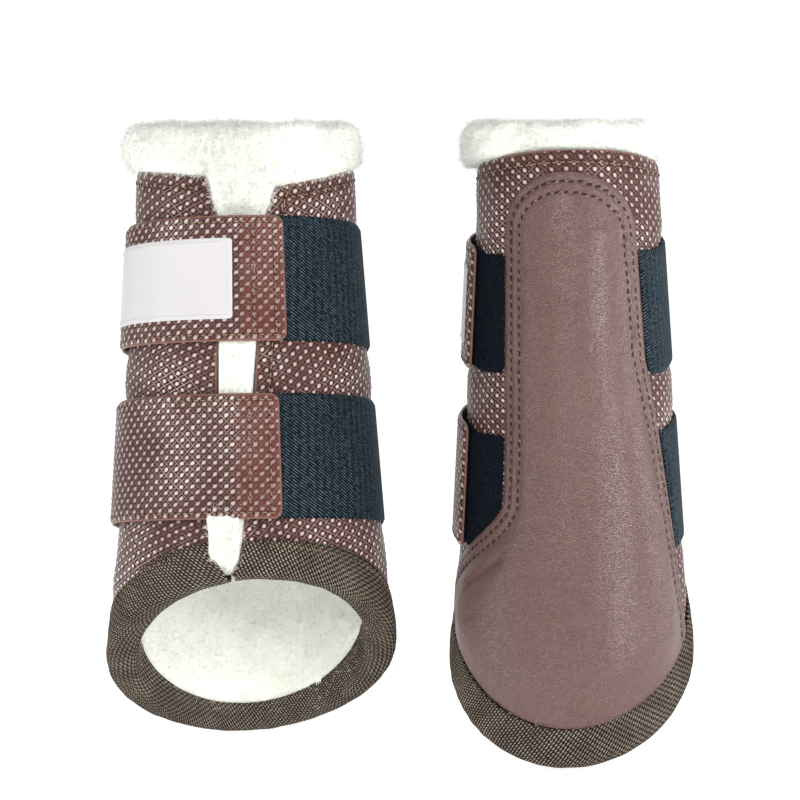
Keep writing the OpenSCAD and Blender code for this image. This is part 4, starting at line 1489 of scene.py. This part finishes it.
def build_binding(boot):
    form, finish = boot.form, boot.finish
    columns = int(round(2 * PI * form.rim_radius / finish.rib)) * 4
    inner = -8.6 * MM
    rows = 26
    points, flat = [], []
    run = 0.0
    for share_round in np.linspace(0, 1, columns + 1):
        elastic, tab = boot.gap_edges(form.rim_slant + 3 * MM)
        a = mix(elastic, 2 * PI + tab, share_round)
        height = float(boot.binding_height(a))
        section = [(inner - 2.2 * MM, 0.80 * height), (inner - 2.4 * MM, 0.5 * height),
                   (inner - 1.9 * MM, 2.5 * MM), (inner - 0.9 * MM, 0.2 * MM), (inner + 1.5 * MM, -0.9 * MM),
                   (-3.5 * MM, -1.1 * MM), (-0.5 * MM, -0.8 * MM), (1.5 * MM, 0.6 * MM), (2.4 * MM, 2.6 * MM),
                   (2.6 * MM, 0.35 * height), (2.4 * MM, 0.6 * height), (1.9 * MM, 0.85 * height),
                   (1.5 * MM, height)]
        d, h = np.array(section).T
        along = np.concatenate([[0], np.cumsum(np.hypot(np.diff(d), np.diff(h)))])
        marks = np.linspace(0, along[-1], rows)
        d, h = np.interp(marks, along, d), np.interp(marks, along, h)
        z = boot.rim(a) + form.binding_wall + h
        elastic, tab = boot.gap_edges(np.maximum(z, form.rim_slant))
        open_more = math.radians(4) * clamp((z - form.rim_slant) / (16 * MM))
        shift = math.radians(2) * (1 - clamp((z - form.rim_slant) / (16 * MM)))
        round_at = mix(elastic + 0.5 * open_more + shift, 2 * PI + tab - open_more + shift, share_round)
        place = boot.at(round_at, z, d)
        if points:
            run += float(np.linalg.norm(place[-8] - points[-1][-8]))
        points.append(place)
        flat.append(np.stack([np.full(rows, run), marks], 1))
    points, flat = np.array(points), np.array(flat)
    for _ in range(2):
        points[:, 1:-1] = (2 * points[:, 1:-1] + points[:, :-2] + points[:, 2:]) / 4
    around = np.gradient(points, axis=0)
    across = np.gradient(points, axis=1)
    normal = np.cross(around, across)
    normal = (-normal if boot.mirrored else normal)
    normal /= np.linalg.norm(normal, axis=-1, keepdims=True)
    rib = np.abs(np.sin((flat[..., 0] + finish.rib_slant * flat[..., 1]) / finish.rib * PI)) - 0.5
    relief = 0.4 * MM * rib + 0.2 * MM * waves(points.reshape(-1, 3), 9 * MM, 41).reshape(rib.shape)
    face = points + normal * relief[..., None]
    back = points - normal * form.binding_wall
    count = face.shape[0] * rows
    number = np.arange(count).reshape(-1, rows)
    quads = np.stack([number[:-1, :-1], number[1:, :-1], number[1:, 1:], number[:-1, 1:]], -1).reshape(-1, 4)
    faces = quads.tolist() + (quads[:, ::-1] + count).tolist()
    loop = np.concatenate([number[:, 0], number[-1, 1:], number[::-1, -1][1:], number[0, ::-1][1:-1]])
    following = np.roll(loop, -1)
    faces += np.stack([following, loop, loop + count, following + count], 1).tolist()
    tape = new_mesh(f"{boot.side}_binding_tape", np.concatenate([face.reshape(-1, 3), back.reshape(-1, 3)]),
                    faces, np.tile(flat.reshape(-1, 2), (2, 1)), boot.mirrored)
    own(tape, "boots", "binding_tape", woven_tape(), f"{boot.side}_rim_binding")
    a = np.linspace(0.16, 2 * PI - 0.38, 400)
    z = boot.rim(a) + form.binding_wall + boot.binding_height(a) - 1.9 * MM
    if not boot.mirrored:
        sew(f"{boot.side}_binding_stitches", boot, [(a, z, np.full(400, 1.9 * MM))], 42, "boots",
            slot="binding_tape", pitch=2.6 * MM, hole=(1.1, 0.8))


# The straps

def strap_wrap(boot, which):
    """Lays a strap's flat pattern round the boot. Its zero is the front, and the tabs' side is negative."""
    radius = boot.strap_radius(which)

    def wrap(u, v):
        a = boot.arc_angle(u / radius)
        return a, boot.strap_middle(which, a) + v
    return wrap, lambda a: radius * boot.arc(a)


def strap_body(boot, which):
    return f"{boot.side}_{which}_strap"


def build_elastic(boot, which):
    strap = boot.strap
    wrap, reach = strap_wrap(boot, which)
    half = strap.width / 2
    seam = boot.seam(which)
    near = seam - math.radians(12)

    def inside(u, v):
        a, z = wrap(u, v)
        elastic, _ = boot.pad_edges(z)
        stop = PI - elastic - math.radians(2)
        band = rounded_box((reach(near), -half), (0.3, half), 2 * MM)(u, v)
        return np.minimum(band, (stop - a) * boot.strap_radius(which))

    def lift(u, v):
        a, _ = wrap(u, v)
        return 0.45 * MM * smooth((seam + math.radians(7) - a) / math.radians(6))

    low, high = (reach(near) - 4 * MM, -half - 4 * MM), (reach(PI) + 4 * MM, half + 4 * MM)
    band = wrap_panel(f"{boot.side}_{which}_elastic_band", boot, inside, low, high, (1.6 * MM, 1.6 * MM),
                      wrap, strap.layer_gap, strap.elastic_wall, None, lift)
    own(band, None, "elastic", navy_elastic(), f"{boot.side}_{which}_elastic")
    middle = boot.strap_middle(which, seam)
    boot.at(seam + math.radians(11), middle, MM).tolist()
    boot.at(seam, middle, MM).tolist()
    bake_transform(band)


def build_strip(boot, which, name, start, end_at, base, wall, finish, slot, body, node_name):
    strap = boot.strap
    wrap, reach = strap_wrap(boot, which)
    half = strap.width / 2 - strap.strip_inset

    def inside(u, v):
        a, z = wrap(u, v)
        band = rounded_box((-0.4, -half), (reach(start), half), 1.5 * MM)(u, v)
        return np.minimum(band, (a - end_at(z)) * boot.strap_radius(which))

    low, high = (reach(-PI), -half - 4 * MM), (reach(start) + 4 * MM, half + 4 * MM)
    strip = wrap_panel(f"{boot.side}_{which}_{name}", boot, inside, low, high, (1.5 * MM, 1.5 * MM), wrap,
                       base, wall)
    own(strip, body, slot, finish, node_name)
    return strip


def build_closures(boot, which):
    strap = boot.strap
    hook_base = 2 * strap.layer_gap + strap.loop_wall

    def loop_end(z):
        return boot.pad_edges(z)[1] + math.radians(2) - PI

    patch = build_strip(boot, which, "loop_patch", math.radians(4) + strap.hook - strap.tab_end, loop_end,
                strap.layer_gap, strap.loop_wall, loop_velour(), "loop_strip", "boots",
                f"{boot.side}_{which}_loop")
    places, normals = face_places(patch)
    rng = np.random.default_rng(81)
    pool = rng.choice(len(places), 5200)
    along = 0.8 * MM * rng.normal(size=(5200, 3))
    along -= (along * normals[pool]).sum(1)[:, None] * normals[pool]
    nap = grow_fibres(f"{boot.side}_{which}_loop_nap", places[pool] + along, normals[pool], 0.9 * MM, 0.7, 82,
                      0.12 * MM)
    own(nap, "boots", "loop_strip", loop_velour())
    build_strip(boot, which, "hook_patch", strap.hook - strap.tab_end,
                lambda z: math.radians(1) - strap.tab_end + 0 * z, hook_base, strap.hook_wall, hook_tape(),
                "hook_strip", strap_body(boot, which), f"{boot.side}_{which}_hook")


def tab_base(boot):
    strap = boot.strap
    return 3 * strap.layer_gap + strap.loop_wall + strap.hook_wall


def build_tab(boot, which):
    strap, finish = boot.strap, boot.finish
    wrap, reach = strap_wrap(boot, which)
    half = strap.width / 2
    start, end = reach(boot.seam(which)), reach(-strap.tab_end)
    inside = rounded_box((end, -half), (start, half), 3 * MM)
    relief = dots(finish, finish.tab_pitch, finish.tab_row)
    plain = start - 17 * MM

    def rise(u, v):
        return relief(u, v) * mix(0.3, 1.0, smooth((plain - u) / (1.5 * MM))) \
            - 0.25 * MM * smooth((u - plain) / (0.8 * MM))

    body = strap_body(boot, which)
    tab = wrap_panel(f"{boot.side}_{which}_leather_tab", boot, inside, (end - 4 * MM, -half - 4 * MM),
                     (start + 4 * MM, half + 4 * MM), (finish.tab_pitch / 4, finish.tab_row / 2), wrap,
                     tab_base(boot), strap.tab_wall, rise, edge=inside,
                     pressed=lambda u, v: smooth((u - plain) / (0.8 * MM)))
    own(tab, body, "tab_leather", tab_leather(), f"{boot.side}_{which}_tab")
    face = tab_base(boot) + strap.tab_wall
    rows = []
    for along in (start - 3.6 * MM, start - 11.5 * MM):
        rows.append((np.full(60, along), np.linspace(-half + 2.4 * MM, half - 2.4 * MM, 60)))
    for v in (-half + 2.2 * MM, half - 2.2 * MM):
        rows.append((np.linspace(end + 2.2 * MM, start - 2.2 * MM, 200), np.full(200, v)))
    rows.append((np.full(60, end + 2.2 * MM), np.linspace(-half + 2.4 * MM, half - 2.4 * MM, 60)))
    lines = [(*wrap(u, v), face + 0.1 * MM) for u, v in rows]
    sew(f"{boot.side}_{which}_tab_stitches", boot, lines, 51, body)


def build_label(boot):
    strap = boot.strap
    wrap, reach = strap_wrap(boot, "upper")
    half = strap.label_height / 2
    start, end = reach(-strap.label_start), reach(-strap.label_end)
    inside = rounded_box((end, -half), (start, half), 1 * MM)
    base = tab_base(boot) + strap.tab_wall + strap.layer_gap
    body = strap_body(boot, "upper")
    label = wrap_panel(f"{boot.side}_bare_label", boot, inside, (end - 3 * MM, -half - 3 * MM),
                       (start + 3 * MM, half + 3 * MM), (1.4 * MM, 1.4 * MM), wrap, base, strap.label_wall)
    own(label, body, "label_satin", label_satin(), f"{boot.side}_label")
    inset = 1.6 * MM
    sides = [(np.linspace(end + inset, start - inset, 200), np.full(200, s * (half - inset)))
             for s in (-1, 1)]
    ends = [(np.full(60, u), np.linspace(inset - half, half - inset, 60))
            for u in (end + inset, start - inset)]
    lines = [(*wrap(u, v), base + strap.label_wall) for u, v in sides + ends]
    sew(f"{boot.side}_label_stitches", boot, lines, 61, body, thread=white_thread(), slot="label_satin",
        pitch=3.2 * MM, holes=white_thread())


# The stage

def build_stage():
    floor = min(CAD_BOX[0].z, CAD_BOX[1].z) - 1.5 * MM
    bpy.ops.object.select_all(action="DESELECT")
    bpy.ops.mesh.primitive_plane_add(size=6.0, location=(0.06, 0.5, floor))
    stage = bpy.context.active_object
    stage.name = stage.data.name = "stage_floor"
    bpy.ops.object.transform_apply(location=True)
    bpy.ops.object.mode_set(mode="EDIT")
    bpy.ops.mesh.select_mode(type="EDGE")
    bpy.ops.mesh.select_all(action="DESELECT")
    bpy.ops.object.mode_set(mode="OBJECT")
    for edge in stage.data.edges:
        edge.select = all(stage.data.vertices[v].co.y > 3.0 for v in edge.vertices)
    bpy.ops.object.mode_set(mode="EDIT")
    bpy.ops.mesh.extrude_region_move(TRANSFORM_OT_translate={"value": (0, 0, 4.0)})
    bpy.ops.object.mode_set(mode="OBJECT")
    apply_modifier(stage, "BEVEL", width=1.0, segments=12, limit_method="ANGLE",
                   angle_limit=math.radians(50))
    select_only(stage)
    bpy.ops.object.shade_smooth()
    stage.data.materials.append(stage_paper())


def add_light(name, place, aim, size, power):
    data = bpy.data.lights.new(name, "AREA")
    data.shape, data.energy = "RECTANGLE", power
    data.size, data.size_y = size
    lamp = bpy.data.objects.new(name, data)
    bpy.context.scene.collection.objects.link(lamp)
    lamp.location = place
    lamp.rotation_mode = "QUATERNION"
    lamp.rotation_quaternion = (Vector(aim) - Vector(place)).to_track_quat("-Z", "Y")


LIGHT_AIM = (0.06, 0.0, -0.05)
ROOM_LIGHT = 0.13
# Each light's name, place and size in metres, and power in watts
LIGHTS = (
    ("front_light", (-0.2, -1.5, 0.65), (0.5, 0.5), 13),
    ("strip_light", (1.2, -1.1, 0.1), (0.3, 1.0), 18),
    ("right_light", (1.6, 0.1, 0.1), (0.8, 0.8), 11),
    ("left_light", (-1.5, -0.15, 0.1), (0.8, 0.8), 11),
    ("low_light", (0.03, -1.35, -0.6), (0.6, 0.6), 14),
)


def light_stage():
    for name, place, size, power in LIGHTS:
        add_light(name, place, LIGHT_AIM, size, power)
    world = bpy.data.worlds.new("studio")
    bpy.context.scene.world = world
    world.use_nodes = True
    world.node_tree.nodes["Background"].inputs[0].default_value = (1, 1, 1, 1)
    world.node_tree.nodes["Background"].inputs[1].default_value = ROOM_LIGHT
    bpy.context.scene.view_settings.view_transform = "Standard"


CAMERA_LENS, CAMERA_SENSOR = 139.5, 36.0
CAMERA_TARGET, CAMERA_DISTANCE = (0.0634, 0.0, -0.0541), 1.2998
CAMERA_ELEVATION, CAMERA_ROLL = 3.64, -0.65


def place_camera():
    data = bpy.data.cameras.new("camera")
    data.lens, data.sensor_width = CAMERA_LENS, CAMERA_SENSOR
    camera = bpy.data.objects.new("camera", data)
    bpy.context.scene.collection.objects.link(camera)
    elevation = math.radians(CAMERA_ELEVATION)
    back = Vector((0.0, -math.cos(elevation), math.sin(elevation)))
    camera.location = Vector(CAMERA_TARGET) + back * CAMERA_DISTANCE
    camera.rotation_mode = "QUATERNION"
    roll = Matrix.Rotation(math.radians(CAMERA_ROLL), 3, "Z").to_quaternion()
    camera.rotation_quaternion = (-back).to_track_quat("-Z", "Y") @ roll
    bpy.context.scene.camera = camera


class PieceOperator:
    """What every operator here does: it builds its piece for each boot."""
    bl_options = {"REGISTER"}

    def execute(self, context):
        for side in SIDES:
            self.build(Boot(side))
        return {"FINISHED"}


class BOOTS_OT_shells(PieceOperator, Operator):
    """Cut, emboss, wrap and stitch the leather shells"""
    bl_idname = "boots.shells"
    bl_label = "Embossed shells"

    def build(self, boot):
        build_shell(boot)


class BOOTS_OT_padding(PieceOperator, Operator):
    """Lay the foam inside the shells"""
    bl_idname = "boots.padding"
    bl_label = "Wall foam"

    def build(self, boot):
        build_padding(boot)


class BOOTS_OT_linings(PieceOperator, Operator):
    """Shape the fleece linings and grow their pile"""
    bl_idname = "boots.linings"
    bl_label = "Fleece linings"

    def build(self, boot):
        build_lining(boot)


class BOOTS_OT_bindings(PieceOperator, Operator):
    """Fold the woven tape over the rims"""
    bl_idname = "boots.bindings"
    bl_label = "Rim bindings"

    def build(self, boot):
        build_binding(boot)


class BOOTS_OT_pads(PieceOperator, Operator):
    """Shape and stitch the strike pads over their foam"""
    bl_idname = "boots.pads"
    bl_label = "Strike pads"

    def build(self, boot):
        build_pad(boot)


class BOOTS_OT_elastics(PieceOperator, Operator):
    """Stretch the elastics from the pads to the tabs"""
    bl_idname = "boots.elastics"
    bl_label = "Elastics"

    def build(self, boot):
        for which in STRAPS:
            build_elastic(boot, which)


class BOOTS_OT_closures(PieceOperator, Operator):
    """Sew on the hook and loop strips"""
    bl_idname = "boots.closures"
    bl_label = "Hook and loop strips"

    def build(self, boot):
        for which in STRAPS:
            build_closures(boot, which)


class BOOTS_OT_tabs(PieceOperator, Operator):
    """Cut, emboss and stitch the strap tabs"""
    bl_idname = "boots.tabs"
    bl_label = "Strap tabs"

    def build(self, boot):
        for which in STRAPS:
            build_tab(boot, which)


class BOOTS_OT_labels(PieceOperator, Operator):
    """Sew a bare satin label on each upper tab"""
    bl_idname = "boots.labels"
    bl_label = "Bare labels"

    def build(self, boot):
        build_label(boot)


class BOOTS_OT_stage(Operator):
    """Add the floor, the lights and the camera"""
    bl_idname = "boots.stage"
    bl_label = "Stage"

    def execute(self, context):
        build_stage()
        light_stage()
        place_camera()
        return {"FINISHED"}


OPERATORS = (BOOTS_OT_shells, BOOTS_OT_padding, BOOTS_OT_linings, BOOTS_OT_bindings, BOOTS_OT_pads,
             BOOTS_OT_elastics, BOOTS_OT_closures, BOOTS_OT_tabs, BOOTS_OT_labels, BOOTS_OT_stage)
SETTINGS = {"boot_form": BootForm, "boot_pad": PadSizes, "boot_straps": StrapSizes,
            "boot_finish": FinishSizes, "boot_colours": BootColours}


class BOOTS_PT_panel(Panel):
    """Lists the boots' sizes and the operators that build their pieces"""
    bl_idname = "BOOTS_PT_panel"
    bl_label = "Tendon boots"
    bl_space_type = "VIEW_3D"
    bl_region_type = "UI"
    bl_category = "Boots"

    def draw(self, context):
        for name, group in SETTINGS.items():
            box = self.layout.box()
            for key in group.__annotations__:
                box.prop(getattr(context.scene, name), key)
        for operator in OPERATORS:
            self.layout.operator(operator.bl_idname)


CLASSES = (*SETTINGS.values(), *OPERATORS, BOOTS_PT_panel)


def register():
    for cls in CLASSES:
        bpy.utils.register_class(cls)
    for name, group in SETTINGS.items():
        setattr(bpy.types.Scene, name, PointerProperty(type=group))


def unregister():
    for name in SETTINGS:
        delattr(bpy.types.Scene, name)
    for cls in reversed(CLASSES):
        bpy.utils.unregister_class(cls)


def main():
    register()
    for operator in OPERATORS:
        group, name = operator.bl_idname.split(".")
        getattr(getattr(bpy.ops, group), name)()


if __name__ == "__main__":
    main()
